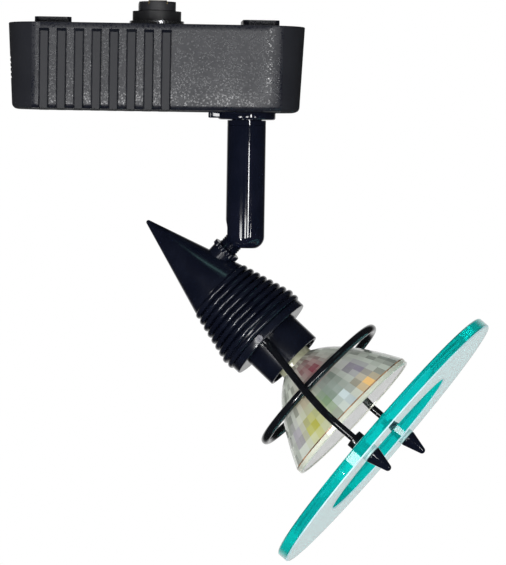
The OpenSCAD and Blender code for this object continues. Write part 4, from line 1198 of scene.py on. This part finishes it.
@dataclass
class Stem:
    """Glossy stem that turns in a bush under the housing and holds the ball."""

    rig: Rig
    radius: float = 6.4
    bore: float = 4.9
    end: float = 4.1
    rise: float = 6.4
    slot: float = 7.2
    lip: float = 0.25
    inner_lip: float = 0.1
    seat_start: float = 0.5
    flange: float = 9.5
    flange_edge: float = 0.7
    face_edge: float = 0.25
    bush_edge: float = 0.3
    sleeve: float = 7.0
    bush_bore: float = 5.05
    lug_reach: float = 3.2
    lug_width: float = 5.0
    lug_share: float = 0.8
    lug_edge: float = 0.8
    lug_sunk: float = 1.0
    wire: float = 0.4
    turns: int = 8
    spring_spare: float = 0.25
    seat_steps: int = 16

    def build(self) -> None:
        """Builds the tube, the bush and the spring, and dresses the bearing's pieces."""
        self._tube()
        self._bush()
        self._spring()
        self.rig.dress(Finishes.GLOSS, "stem_spigot")
        self.rig.dress(Finishes.BRASS, "bush_nut", "stem_retainer")
        self.rig.dress(Finishes.ZINC, "thrust_washer")
        self.rig.dress(Finishes.NYLON, "friction_cup")

    def _tube(self) -> None:
        """Turned tube: a rounded end, a straight side, and a bore that ends in the ball's seat."""
        axis = self.rig.stem
        top = self.rig.span("stem_tube", axis)[1]
        seat = np.radians(np.linspace(0.0, 90.0, self.seat_steps))
        outside = rounded([(0.0, -self.rise, 0.0), (self.radius, -self.rise, self.end),
                           (self.radius, top, self.lip), (self.bore, top, self.inner_lip),
                           (self.bore, self.seat_start, 0.0)], steps=14)
        inside = self.bore * np.stack([np.cos(seat), -np.sin(seat)], -1)
        tube = Shape().lathe(np.concatenate([outside, inside]), axis, segments=128)
        half = self.slot / 2
        reach = self.radius + PAST
        cuts = [Shape().rod(axis.rolled(), half, -reach, 0.0), Shape().rod(axis, half, -reach, 0.0),
                Shape().block(axis, (-reach, -half, -reach), (0.0, half, 0.0))]
        self.rig.add("gloss_stem", tube, [Finishes.GLOSS], Body.STEM, "stem_tube", "gloss_black",
                     [(Cut.AWAY, cut) for cut in cuts])

    def _bush(self) -> None:
        """Flanged bush with rounded edges, and a lug on the left of its flange."""
        axis = replace(self.rig.world, origin=self.rig.stem.origin * np.array([1.0, 1.0, 0.0]))
        low, high = self.rig.span("stem_bush", axis)
        face = self.rig.span("housing_shell", axis)[0]
        edge = self.bush_edge
        section = rounded([
            (self.bush_bore, low, edge), (self.flange, low, self.flange_edge),
            (self.flange, face, self.face_edge), (self.sleeve, face, 0.0),
            (self.sleeve, high, edge), (self.bush_bore, high, edge)])
        bush = Shape().lathe(section, axis, segments=128, loop=True)
        reach, half, root = self.flange + self.lug_reach, self.lug_width / 2, self.flange - self.lug_sunk
        nose = rounded([(-reach, -half, self.lug_edge), (-root, -half, 0.0), (-root, half, 0.0),
                        (-reach, half, self.lug_edge)])
        under = face - (face - low) * self.lug_share
        rows = [(face, 0.0), (face, 1.0), (under + 0.35, 1.0), (under + 0.1, 0.96),
                (under, 0.9), (under, 0.0)]
        level, shrink = (np.array(column)[:, None] for column in zip(*rows))
        spread = nose.mean(0) + (nose - nose.mean(0)) * shrink[..., None]
        lug = Shape().grid(axis.place(spread[..., 0], spread[..., 1], level))
        self.rig.add("flanged_bush", bush, [Finishes.GLOSS], Body.BASE, "stem_bush", "gloss_black",
                     [(Cut.JOIN, lug)])

    def _spring(self) -> None:
        """Coil spring that presses the cup on the ball: a helix of even pitch."""
        low, high = self.rig.span("friction_spring", self.rig.stem)
        u = np.linspace(0.0, 1.0, self.turns * COIL_STEPS + 1)
        r = self.bore - self.wire - self.spring_spare
        z = low + self.wire + (high - low - 2 * self.wire) * u
        path = self.rig.stem.polar(r, 2 * pi * self.turns * u, z)
        coil = Shape().tube(path, self.wire, self.rig.stem.along, sides=12)
        self.rig.add("coil_spring", coil, [Finishes.SPRING], Body.STEM, "friction_spring", "spring_steel")


@dataclass
class Swivel:
    """Ball stud in the stem's slot, and the nut that locks the cone on it."""

    rig: Rig
    ball: float = 4.8
    stud: float = 3.4
    bore: float = 1.9
    mouth: float = 3.0
    thread_pitch: float = 0.8
    thread_depth: float = 0.28
    thread_fade: float = 0.4
    lead_in: float = 0.2
    chamfer: float = 0.3
    bore_share: float = 0.35
    nut: float = 4.85
    nut_bore: float = 3.45
    nut_edge: float = 0.2
    grips: int = 20
    grip_depth: float = 0.34
    grip_power: int = 3
    grip_fade: int = 4
    grip_steps: int = 12
    segments: int = 96
    ball_steps: int = 40
    thread_steps: int = 8

    def build(self) -> None:
        """Builds the stud and the nut."""
        self._stud()
        self._nut()

    def _stud(self) -> None:
        """Ball and threaded stud, bored for the leads.

        The thread's radius falls and rises as a triangle wave of the height plus the clock, so the
        crests climb one pitch in a turn.
        """
        axis = self.rig.stud
        end = self.rig.span("ball_stud", axis)[1]
        shoulder = sqrt(self.ball**2 - self.stud**2)
        clock = full_turn(self.segments)[None]
        first, last = asin(self.mouth / self.ball), pi - asin(self.stud / self.ball)
        polar = np.linspace(first, last, self.ball_steps)[:, None]
        ball_r, ball_t = self.ball * np.sin(polar), -self.ball * np.cos(polar)
        start, stop = shoulder + self.lead_in, end - self.lead_in
        run = np.arange(start, stop, self.thread_pitch / self.thread_steps)[:, None]
        wave = np.abs(2.0 * ((run / self.thread_pitch + clock / (2 * pi)) % 1.0) - 1.0)
        fade = np.clip(np.minimum(run - start, stop - self.thread_fade - run) / self.thread_fade, 0.0, 1.0)
        thread_r = self.stud - self.thread_depth * wave * fade
        bore_t = np.array([[end], [end], [-self.ball * self.bore_share]])
        bore_r = np.array([[self.stud - self.chamfer], [self.bore], [self.bore]])
        rows = (ball_r, thread_r, bore_r)
        radius = np.concatenate([np.broadcast_to(row, (len(row), clock.size)) for row in rows])
        height = np.concatenate([ball_t, run, bore_t])
        stud = Shape().grid(axis.polar(radius, clock, height), loop=True)
        self.rig.add("threaded_stud", stud, [Finishes.SATIN], Body.SWIVEL, "ball_stud", "satin_black")

    def _nut(self) -> None:
        """Thin knurled nut: its rim dips at each grip as a power of a cosine of the clock."""
        axis = self.rig.stud
        low, high = self.rig.span("lock_nut", axis)
        section = ring_loop(self.nut_bore, self.nut, low, high, self.nut_edge)
        clock = full_turn(self.grips * self.grip_steps)[None]
        dip = (0.5 + 0.5 * np.cos(self.grips * clock)) ** self.grip_power
        share = np.clip((section[:, :1] - self.nut_bore) / (self.nut - self.nut_bore), 0.0, 1.0)
        radius = section[:, :1] - self.grip_depth * dip * share ** self.grip_fade
        nut = Shape().grid(axis.polar(radius, clock, section[:, 1:]), loop=True)
        self.rig.add("knurled_nut", nut, [Finishes.SATIN], Body.NUT, "lock_nut", "gloss_black")


@dataclass
class Cone:
    """Pointed cone with a ribbed skirt, which the stud and the arms are fixed to."""

    rig: Rig
    tip: float = 0.75
    tip_steps: int = 8
    length: float = 33.1
    radius: float = 11.0
    fins: int = 9
    fin_start: float = 34.593
    fin_pitch: float = 2.37
    fin_depth: float = 1.3
    fin_half: float = 0.935
    fin_foot: float = 0.25
    fin_power: float = 0.7
    fin_steps: int = 17
    crest_first: float = 11.8
    crest_last: float = 16.2
    base: float = 15.4
    base_edge: float = 0.35
    base_ease: float = 0.15
    bore: float = 10.6
    bore_start: float = 47.338
    cavity_start: float = 12.62
    wall: float = 2.2
    throat: float = 9.05
    seat: float = 4.3
    seat_gap: float = 0.05
    seat_short: float = 6.1
    stud_bore: float = 3.45
    stud_bore_low: float = 1.0
    stud_bore_short: float = 2.0
    root: float = 13.0
    root_bore: float = 1.3
    root_depth: float = 5.0
    screw_bore: float = 1.15

    def build(self) -> None:
        """Builds the cone with its seat and bores, and dresses the set screws."""
        head, stud = self.rig.head, self.rig.stud
        end = self.rig.span("cone_shell", head)[1]
        seat_low = self.rig.span("lock_nut", stud)[1] + self.seat_gap
        reach = float(np.dot(head.origin - stud.origin, stud.along)) / MM
        seat = Shape().rod(stud, self.seat, seat_low, reach - self.seat_short, segments=96)
        bores = Shape().rod(stud, self.stud_bore, self.stud_bore_low, reach - self.stud_bore_short)
        roots = Shape()
        screw_t = float(np.mean([self.rig.span("set_screws", head)]))
        screws = Shape()
        for side in (-90.0, 90.0):
            arm = head.turned(side)
            roots.rod(arm.moved(self.root), self.root_bore, end - self.root_depth, end + PAST)
            screws.rod(arm.moved(z=screw_t).rolled(), self.screw_bore, self.root, self.base + PAST)
        body = Shape().lathe(self._profile(end), head, segments=160)
        cuts = [(Cut.JOIN, seat), (Cut.AWAY, bores), (Cut.AWAY, roots), (Cut.AWAY, screws)]
        self.rig.add("ribbed_cone", body, [Finishes.SATIN], Body.HEAD, "cone_shell", "satin_black", cuts)
        self.rig.dress(Finishes.OXIDE, "set_screws")

    def _profile(self, end: float) -> Array:
        """Radius and height from the point, over the ribs to the base, and back along the cavity.

        The point is a ball that the flank touches. Each rib swells as a power of a sine, so its
        crest is broad and its flanks are steep.

        Args:
            end: Height of the base's end.

        Returns:
            The outline's points, in pairs.
        """
        lean = atan((self.radius - self.tip) / self.length)
        turn = np.linspace(-pi / 2, -lean, self.tip_steps)
        point = self.tip * np.stack([np.cos(turn), 1.0 + np.sin(turn)], -1)
        flank = np.array([(self.radius, self.length), (self.radius, self.fin_start - self.fin_pitch / 2)])
        swell = np.linspace(0.0, pi, self.fin_steps)[None]
        order = np.arange(self.fins)[:, None]
        growth = np.minimum(order / (self.fins - 2), 1.0)
        crest = self.crest_first + (self.crest_last - self.crest_first) * growth
        rise = self.fin_depth - self.fin_foot
        rib_r = crest - rise + rise * np.sin(swell) ** self.fin_power
        rib_t = self.fin_start + self.fin_pitch * order - self.fin_half * np.cos(swell)
        ribs = np.stack([rib_r, rib_t], -1).reshape(-1, 2)
        last = self.fin_start + self.fin_pitch * (self.fins - 0.5)
        slope, ease = self.radius / self.length, self.base_ease
        base = rounded([
            (self.crest_last - self.fin_depth, last - ease, 0.0), (self.base, last, ease),
            (self.base, end, self.base_edge), (self.bore, end, ease),
            (self.bore, self.bore_start, 0.0), (self.throat, self.bore_start, 0.0),
            (self.length * slope - self.wall, self.length, 0.0),
            (self.cavity_start * slope - self.wall, self.cavity_start, 0.0), (0.0, self.cavity_start, 0.0)])
        return np.concatenate([point, flank, ribs, base])


@dataclass
class LampHolder:
    """Sleeve and ceramic socket in the cone's base, with the leads that feed it."""

    rig: Rig
    radius: float = 10.55
    wall: float = 1.1
    lip: float = 0.3
    lead: float = 0.7
    pitch: float = 2.0
    pin_pitch: float = 5.33
    clear: float = 1.2
    turn_x: float = -3.306
    bend: float = 2.4

    def build(self) -> None:
        """Builds the sleeve and the leads, and dresses the socket."""
        low, high = self.rig.span("socket_sleeve", self.rig.head)
        section = ring_loop(self.radius - self.wall, self.radius, low, high, self.lip)
        sleeve = Shape().lathe(section, self.rig.head, segments=128, loop=True)
        self.rig.add("lipped_sleeve", sleeve, [Finishes.SATIN], Body.HEAD, "socket_sleeve", "satin_black")
        self._leads()
        self.rig.dress(Finishes.CERAMIC, "lamp_socket")
        self.rig.dress(Finishes.BRASS, "socket_contacts")

    def _leads(self) -> None:
        """Two leads from the stud's bore to the back of the socket."""
        head = self.rig.head
        ball = (self.rig.stud.origin - head.origin) / MM
        start_x, stud_t = float(ball @ head.across), float(ball @ head.along)
        from_x, turn_x = start_x + Swivel.ball + self.clear, self.turn_x
        stop = self.rig.span("socket_leads", head)[1]
        near, pins = self.pitch * 0.45, self.pin_pitch / 2
        route = [(from_x, near, stud_t), ((from_x + turn_x - self.bend) / 2, near, stud_t),
                 (turn_x - self.bend, near, stud_t), (turn_x, self.pitch * 0.6, stud_t + 2.6),
                 (0.0, pins, (stud_t + stop) / 2 + 2.0), (0.0, pins, stop)]
        leads = lead_pair(route, head, self.lead, head.aside + SKEW * head.across)
        self.rig.add("head_leads", leads, [Finishes.LEAD], Body.HEAD, "socket_leads", "lead_insulation")


@dataclass(frozen=True)
class Spot:
    """A coloured place on the reflector: height and reach in millimetres, clock in degrees."""

    height: float
    clock: float
    reach: float
    colour: Colour


@dataclass
class Lamp:
    """Two-inch reflector lamp: faceted glass bowl, capsule, base and front glass."""

    rig: Rig
    rim: float = 25.2
    neck: float = 6.4
    band: float = 2.0
    wall: float = 1.2
    rows: int = 11
    sectors: int = 52
    spread: float = 0.85
    line: float = 0.4
    lip: float = 0.3
    lip_depth: float = 0.2
    inner_inset: float = 0.9
    inner_rise: float = 0.5
    rim_rows: int = 4
    seed: int = 11
    tone_and_glint_levels: tuple[float, float] = (0.45, 1.1)
    strengths: tuple[float, float] = (0.7, 1.0)
    line_levels: tuple[float, float] = (0.6, 2.4)
    line_tint: Colour = (0.2, 0.1, 0.05)
    clear_cover: float = 0.65
    pale: Colour = (0.6, 0.64, 0.56)
    clear: Colour = (0.97, 0.95, 0.8)
    spots: tuple[Spot, ...] = (
        Spot(86.3, 268.0, 3.6, (0.12, 0.3, 0.02)),
        Spot(89.0, 289.0, 5.0, (0.42, 0.4, 0.01)),
        Spot(93.0, 233.0, 3.2, (1.0, 0.56, 0.14)),
        Spot(85.0, 226.0, 3.4, (0.22, 0.17, 0.28)),
        Spot(87.0, 311.0, 3.4, (0.33, 0.28, 0.38)),
        # Pale blue-white spot: a painted glint.
        Spot(90.0, 254.0, 2.4, (0.8, 0.93, 1.0)),
        Spot(75.5, 252.0, 5.0, (0.24, 0.003, 0.035)),
        Spot(80.0, 285.0, 3.0, (0.5, 0.4, 0.26)),
        Spot(82.0, 246.0, 2.6, (0.2, 0.24, 0.2)),
        Spot(77.3, 276.0, 2.8, (0.08, 0.03, 0.02)),
        Spot(84.5, 258.0, 4.6, (0.24, 0.3, 0.27)),
    )

    def build(self) -> None:
        """Builds the bowl and dresses the rest."""
        self._bowl()
        self.rig.dress(Finishes.NECK, "lamp_base")
        self.rig.dress(Finishes.ZINC, "lamp_pins")
        self.rig.dress(Finishes.LAMP_GLASS, "lamp_capsule", "lamp_front_glass")
        self.rig.dress(Finishes.SPRING, "lamp_filament")

    def _bowl(self) -> None:
        """Parabolic bowl of flat facets, closed over the rim and down the inside.

        The height grows with the square of the radius; rows crowd towards the rim.
        """
        head = self.rig.head
        low, high = self.rig.span("lamp_reflector", head)
        end = high - self.band
        share = (self.neck / self.rim) ** 2
        vertex = (low - share * end) / (1 - share)
        r = self.neck + (self.rim - self.neck) * (np.arange(self.rows + 1) / self.rows) ** self.spread
        t = vertex + (end - vertex) * (r / self.rim) ** 2
        outer = np.stack([r, t], -1)
        lip, inset, inside = self.lip, self.wall * self.inner_inset, self.rim - self.wall
        rim = np.array([(self.rim, end + self.line), (self.rim, high - lip), (self.rim - lip, high),
                        (inside, high), (inside, end - self.lip_depth)])
        inner = np.stack([r - inset, t + self.wall * self.inner_rise], -1)[-2:0:-1]
        neck = np.array([(self.neck - inset, low)])
        profile = np.concatenate([outer, rim, inner, neck])
        bowl = Shape().lathe(profile, head, self.sectors, loop=True)
        piece = self.rig.add("faceted_bowl", bowl, [Finishes.REFLECTOR], Body.HEAD, "lamp_reflector",
                             "dichroic_glass", crease=2.0)
        self._tint(piece.data, profile)

    def _tint(self, mesh: bpy.types.Mesh, profile: Array) -> None:
        """Gives each facet its tint: pale glass at a random level whose brightest facets are painted glints,
        and the rim band clear past a brown line.

        A facet takes a spot's colour by a share that falls as a bell with its distance over the bowl, times a
        random strength; the pale blue-white spot is a painted glint.

        Args:
            mesh: The bowl, whose faces run round each band of the profile in turn.
            profile: Radius and height of the bowl's outline.
        """
        draw = np.random.default_rng(self.seed)
        middle = (profile + np.roll(profile, -1, 0)) / 2
        radius, height = middle[:, :1], middle[:, 1:]
        clock = (np.arange(self.sectors) + 0.5) * 2 * pi / self.sectors
        # A random level per facet: varied tone, and at its top painted facet glints.
        colour = np.array(self.pale) * draw.uniform(*self.tone_and_glint_levels, (len(profile), self.sectors, 1))
        for spot in self.spots:
            turn = (clock - radians(spot.clock) + pi) % (2 * pi) - pi
            away = np.hypot(height - spot.height, radius * turn) / spot.reach
            share = np.exp(-away**2) * draw.uniform(*self.strengths, away.shape)
            colour += share[..., None] * (np.array(spot.colour) - colour)
        cover = np.ones((len(profile), self.sectors, 1))
        band = slice(self.rows + 1, self.rows + 1 + self.rim_rows)
        colour[band] = self.clear
        cover[band] = self.clear_cover
        colour[self.rows] = np.array(self.line_tint) * draw.uniform(*self.line_levels, (self.sectors, 1))
        facets = np.concatenate([np.clip(colour, 0.0, 1.0), cover], -1).astype(np.float32)
        stored = mesh.attributes.new(Finishes.REFLECTOR.attribute, "FLOAT_COLOR", "FACE")
        stored.data.foreach_set("color", facets.ravel())


@dataclass
class GlassCarrier:
    """Two bent arms, the wire ring between them, and the glass ring that they hold.

    The arms' ends and all that they carry lean about the wire ring, by lean degrees.
    """

    rig: Rig
    rod: float = 1.25
    root: float = 13.0
    root_depth: float = 4.95
    lead: float = 1.0
    out: float = 38.5
    flare: float = 40.0
    bend_first: float = 5.0
    bend_second: float = 15.0
    bend_steps: int = 12
    ring_gap: float = 0.1
    ring_wire: float = 1.4
    ring_sides: int = 32
    lean: float = -3.0
    collar: float = 2.95
    collar_bore: float = 1.3
    collar_edge: float = 0.3
    glass: float = 50.8
    glass_bore: float = 27.8
    bevel: float = 0.4
    hole: float = 2.15
    finial: float = 2.85
    finial_shoulder: float = 0.4
    finial_foot: float = 0.2
    finial_edge: float = 0.15
    finial_tip: float = 1.15
    finial_steps: int = 10
    finial_bore: float = 3.8

    def build(self) -> None:
        """Builds the arms, rings, collars and finials, and dresses the bushes."""
        low, high = self.rig.span("spreader_ring", self.rig.head)
        level = (low + high) / 2
        leaned = self.rig.head.moved(z=level).leaned(self.lean).moved(z=-level)
        for name, node, side in (("front_rod", "near_arm", -90.0), ("rear_rod", "far_arm", 90.0)):
            arm, end = self.rig.head.turned(side), leaned.turned(side)
            rod = Shape().tube(self._route(node, arm, end, level), self.rod, arm.aside, sides=24)
            self.rig.add(name, rod, [Finishes.ROD], Body.HEAD, node, "rod_black")
        self._ring(level)
        ends = [leaned.turned(side).moved(self.out) for side in (-90.0, 90.0)]
        self._collars(ends)
        self._glass(leaned, ends)
        self._finials(ends)
        self.rig.dress(Finishes.CLEAR_NYLON, "disc_bushes")

    def _route(self, node: str, arm: Axis, end: Axis, level: float) -> Array:
        """An arm's line: straight from the base, out at the flare by an arc, and along the beam by another.

        Args:
            node: The CAD node of the arm.
            arm: The head's axis, turned to the arm's side.
            end: The same for the leaned axis, which holds from the wire ring on.
            level: Height of the wire ring.

        Returns:
            The line's points in metres.
        """
        start, stop = self.rig.span(node, arm)[0], self.rig.span(node, end)[1]
        flare = radians(self.flare)
        lift_off = start + self.root_depth + self.lead
        bends = self.bend_first + self.bend_second
        slope = (self.out - self.root - bends * (1 - cos(flare))) / sin(flare)
        straight = lift_off + bends * sin(flare) + slope * cos(flare)
        turn = np.linspace(0.0, flare, self.bend_steps)
        step, rise = 1 - np.cos(turn), np.sin(turn)
        first = np.stack([self.root + self.bend_first * step, lift_off + self.bend_first * rise])
        second = np.stack([self.out - self.bend_second * step, straight - self.bend_second * rise])[:, ::-1]
        middle = [[self._at_ring(lift_off, level)], [level]]
        line = np.concatenate([[[self.root], [start]], first, middle, second, [[self.out], [stop]]], 1)
        free = line[1][:, None] > level
        return np.where(free, end.place(line[0], 0.0, line[1]), arm.place(line[0], 0.0, line[1]))

    def _at_ring(self, lift_off: float, level: float) -> float:
        """Finds where an arm passes the wire ring: past its first bend, up the slope of the flare.

        Args:
            lift_off: Height at which the arm leaves its straight root.
            level: Height of the wire ring.

        Returns:
            The arm's distance from the axis there.
        """
        flare = radians(self.flare)
        rise = (level - lift_off - self.bend_first * sin(flare)) * tan(flare)
        return self.root + self.bend_first * (1 - cos(flare)) + rise

    def _ring(self, level: float) -> None:
        """Wire ring that lies inside the arms: a circle carried round the beam.

        Args:
            level: Height of the ring.
        """
        lift_off = self.rig.span("near_arm", self.rig.head)[0] + self.root_depth + self.lead
        inset = (self.rod + self.ring_gap + self.ring_wire) / cos(radians(self.flare))
        radius = self._at_ring(lift_off, level) - inset
        turn = full_turn(self.ring_sides)
        section = np.array([radius, level]) + self.ring_wire * np.stack([np.cos(turn), np.sin(turn)], -1)
        ring = Shape().lathe(section, self.rig.head, segments=160, loop=True)
        self.rig.add("wire_ring", ring, [Finishes.ROD], Body.HEAD, "spreader_ring", "rod_black")

    def _collars(self, ends: Sequence[Axis]) -> None:
        """Turned collars that the glass's bushes rest on.

        Args:
            ends: The lines of the arms' ends.
        """
        low, high = self.rig.span("shoulder_collars", ends[0])
        section = ring_loop(self.collar_bore, self.collar, low, high, self.collar_edge)
        collars = Shape()
        for end in ends:
            collars.lathe(section, end, segments=64, loop=True)
        self.rig.add("turned_collars", collars, [Finishes.ROD], Body.HEAD, "shoulder_collars", "rod_black")

    def _glass(self, leaned: Axis, ends: Sequence[Axis]) -> None:
        """Flat glass ring: clear through its faces, teal through its walls, and seamed on two bevels.

        Args:
            leaned: The ring's axis.
            ends: The lines of the arms' ends.
        """
        low, high = self.rig.span("glass_disc", leaned)
        inner, outer, edge = self.glass_bore, self.glass, self.bevel
        profile = np.array([
            (inner + edge, low), (outer - edge, low), (outer, low + edge), (outer, high - edge),
            (outer - edge, high), (inner + edge, high), (inner, high - edge), (inner, low + edge)])
        # The two bevel slots carry the painted highlight.
        slots = np.array([Pane.FACE, Pane.WALL, Pane.WALL, Pane.SEAM,
                          Pane.FACE, Pane.SEAM, Pane.WALL, Pane.WALL])
        ring = Shape().lathe(profile, leaned, segments=192, loop=True, slots=slots)
        holes = Shape()
        for end in ends:
            holes.rod(end, self.hole, low - PAST, high + PAST, segments=64)
        finishes = [Finishes.TEAL, Finishes.FACE, Finishes.SEAM]
        self.rig.add("bevelled_glass", ring, finishes, Body.HEAD, "glass_disc", "teal_glass",
                     [(Cut.AWAY, holes)], crease=20.0)

    def _finials(self, ends: Sequence[Axis]) -> None:
        """Bullet nuts: a narrow shoulder, a straight taper and a round tip.

        Args:
            ends: The lines of the arms' ends.
        """
        low, high = self.rig.span("finials", ends[0])
        shoulder = low + self.finial_shoulder
        lean = atan((self.finial - self.finial_tip) / (high - shoulder - self.finial_tip))
        turn = np.linspace(lean, pi / 2, self.finial_steps)
        tip = np.stack([self.finial_tip * np.cos(turn), high - self.finial_tip * (1 - np.sin(turn))], -1)
        deep = low + self.finial_bore
        body = rounded([(0.0, deep, 0.0), (self.collar_bore, deep, 0.0), (self.collar_bore, low, 0.0),
                        (self.finial, low, self.finial_foot), (self.finial, shoulder, self.finial_edge),
                        (float(tip[0, 0]), float(tip[0, 1]), 0.0)])
        finials = Shape()
        for end in ends:
            finials.lathe(np.concatenate([body, tip]), end, segments=64)
        self.rig.add("bullet_finials", finials, [Finishes.GLOSS], Body.HEAD, "finials", "rod_black")


@dataclass(frozen=True)
class SoftBox:
    """A rectangular lamp: its direction in degrees, its distance and size in metres, and its watts."""

    name: str
    azimuth: float
    elevation: float
    distance: float
    size: tuple[float, float]
    power: float
    colour: Colour = WHITE


@dataclass
class Studio:
    """Camera, lights, white surroundings and a pale floor."""

    target: Point = (0.033, 0.0, -0.0861)
    azimuth: float = -2.78
    elevation: float = 1.66
    roll: float = 0.89
    distance: float = 1.2
    lens: float = 231.6
    sensor: float = 36.0
    far: float = 20.0
    floor_z: float = -0.42
    floor_half: float = 1.3
    fill: float = 0.72
    front: float = 0.02
    back: float = 0.75
    back_step: tuple[float, float] = (0.78, 0.96)
    boxes: tuple[SoftBox, ...] = (
        SoftBox("key", 14.5, -3.0, 1.15, (0.06, 0.32), 2.2),
        SoftBox("low_spot", -29.0, -25.0, 0.7, (0.05, 0.05), 1.2),
        SoftBox("left_soft", -28.0, -8.8, 1.1, (0.25, 0.25), 2.4),
        SoftBox("right_low", 30.0, -5.0, 1.15, (0.06, 0.08), 0.5),
        SoftBox("front_soft", -1.1, -9.0, 1.15, (0.17, 0.29), 2.3),
        SoftBox("top_strip", 10.6, 62.0, 1.0, (0.3, 0.1), 0.16, (0.5, 1.0, 0.95)),
    )

    def build(self) -> None:
        """Sets the view, the camera, the lights, the world and the floor."""
        bpy.context.scene.view_settings.view_transform = "Standard"
        self._camera()
        for box in self.boxes:
            self._light(box)
        self._world()
        self._floor()

    def _toward(self, azimuth: float, elevation: float) -> Array:
        """Unit direction from the light to a place in the studio; azimuth 0 is in front, 90 to the right."""
        a, e = radians(azimuth), radians(elevation)
        return np.array([sin(a) * cos(e), -cos(a) * cos(e), sin(e)])

    def _aim(self, obj: bpy.types.Object, azimuth: float, elevation: float, distance: float,
             roll: float = 0.0) -> None:
        """Puts an object at a distance from the target, facing it, and rolls it about its view.

        Args:
            obj: The camera or lamp.
            azimuth: Its direction from the target, as _toward takes it.
            elevation: Its height above the target's level, in degrees.
            distance: Its distance from the target in metres.
            roll: Its turn about its own view, in degrees.
        """
        back = self._toward(azimuth, elevation)
        right = np.array([cos(radians(azimuth)), sin(radians(azimuth)), 0.0])
        up = np.cross(back, right)
        c, s = cos(radians(roll)), sin(radians(roll))
        place = np.eye(4)
        place[:3, 0], place[:3, 1], place[:3, 2] = c * right + s * up, c * up - s * right, back
        place[:3, 3] = np.array(self.target) + distance * back
        obj.matrix_world = Matrix(place.tolist())

    def _camera(self) -> None:
        """Camera at the photograph's view."""
        lens = bpy.data.cameras.new("camera")
        lens.lens = self.lens
        lens.sensor_width = self.sensor
        lens.clip_end = self.far
        camera = linked("camera", lens)
        self._aim(camera, self.azimuth, self.elevation, self.distance, self.roll)
        bpy.context.scene.camera = camera

    def _light(self, box: SoftBox) -> None:
        """Adds a lamp that faces the target.

        Args:
            box: The lamp's place, size and light.
        """
        lamp = bpy.data.lights.new(box.name, "AREA")
        lamp.shape = "RECTANGLE"
        lamp.size, lamp.size_y = box.size
        lamp.energy = box.power
        lamp.color = box.colour
        self._aim(linked(box.name, lamp), box.azimuth, box.elevation, box.distance)

    def _world(self) -> None:
        """White for the camera and through glass; gloss sees white behind the light and a dark front."""
        world = bpy.data.worlds.new("studio")
        bpy.context.scene.world = world
        world.use_nodes = True
        world.cycles.sampling_method = "NONE"
        graph = Graph(world.node_tree)
        seen = graph.node("ShaderNodeLightPath", output="Is Camera Ray")
        through = graph.node("ShaderNodeLightPath", output="Is Transmission Ray")
        gloss = graph.node("ShaderNodeLightPath", output="Is Glossy Ray")
        way = graph.node("ShaderNodeTexCoord", output="Generated")
        depth = graph.node("ShaderNodeSeparateXYZ", {}, {0: way}, "Y")
        mirrored = depth.between(*self.back_step) * (self.back - self.front) + self.front
        lit = gloss * mirrored + (1.0 - gloss) * self.fill
        open_view = seen.most(through)
        strength = open_view + (1.0 - open_view) * lit
        sky = graph.node("ShaderNodeBackground", {}, {"Color": (*WHITE, 1.0), "Strength": strength})
        graph.end(sky, "ShaderNodeOutputWorld")

    def _floor(self) -> None:
        """Pale floor under the light that runs out to white."""
        half, z = self.floor_half, self.floor_z
        corners = [(-half, -half, z), (half, -half, z), (half, half, z), (-half, half, z)]
        mesh = bpy.data.meshes.new("floor")
        mesh.from_pydata(corners, [], [range(len(corners))])
        mesh.materials.append(Finishes.FLOOR.material())
        floor = linked("floor", mesh)
        floor.visible_glossy = False


def main() -> None:
    """Loads the frame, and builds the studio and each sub-assembly."""
    logging.basicConfig(level=logging.INFO, format="%(name)s: %(message)s")
    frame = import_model()
    Studio().build()
    rig = Rig(frame)
    for assembly in (Housing, TrackLock, Transformer, Stem, Swivel, Cone, LampHolder, Lamp, GlassCarrier):
        assembly(rig).build()
        LOG.info("%s is ready", assembly.__name__)


if __name__ == "__main__":
    main()
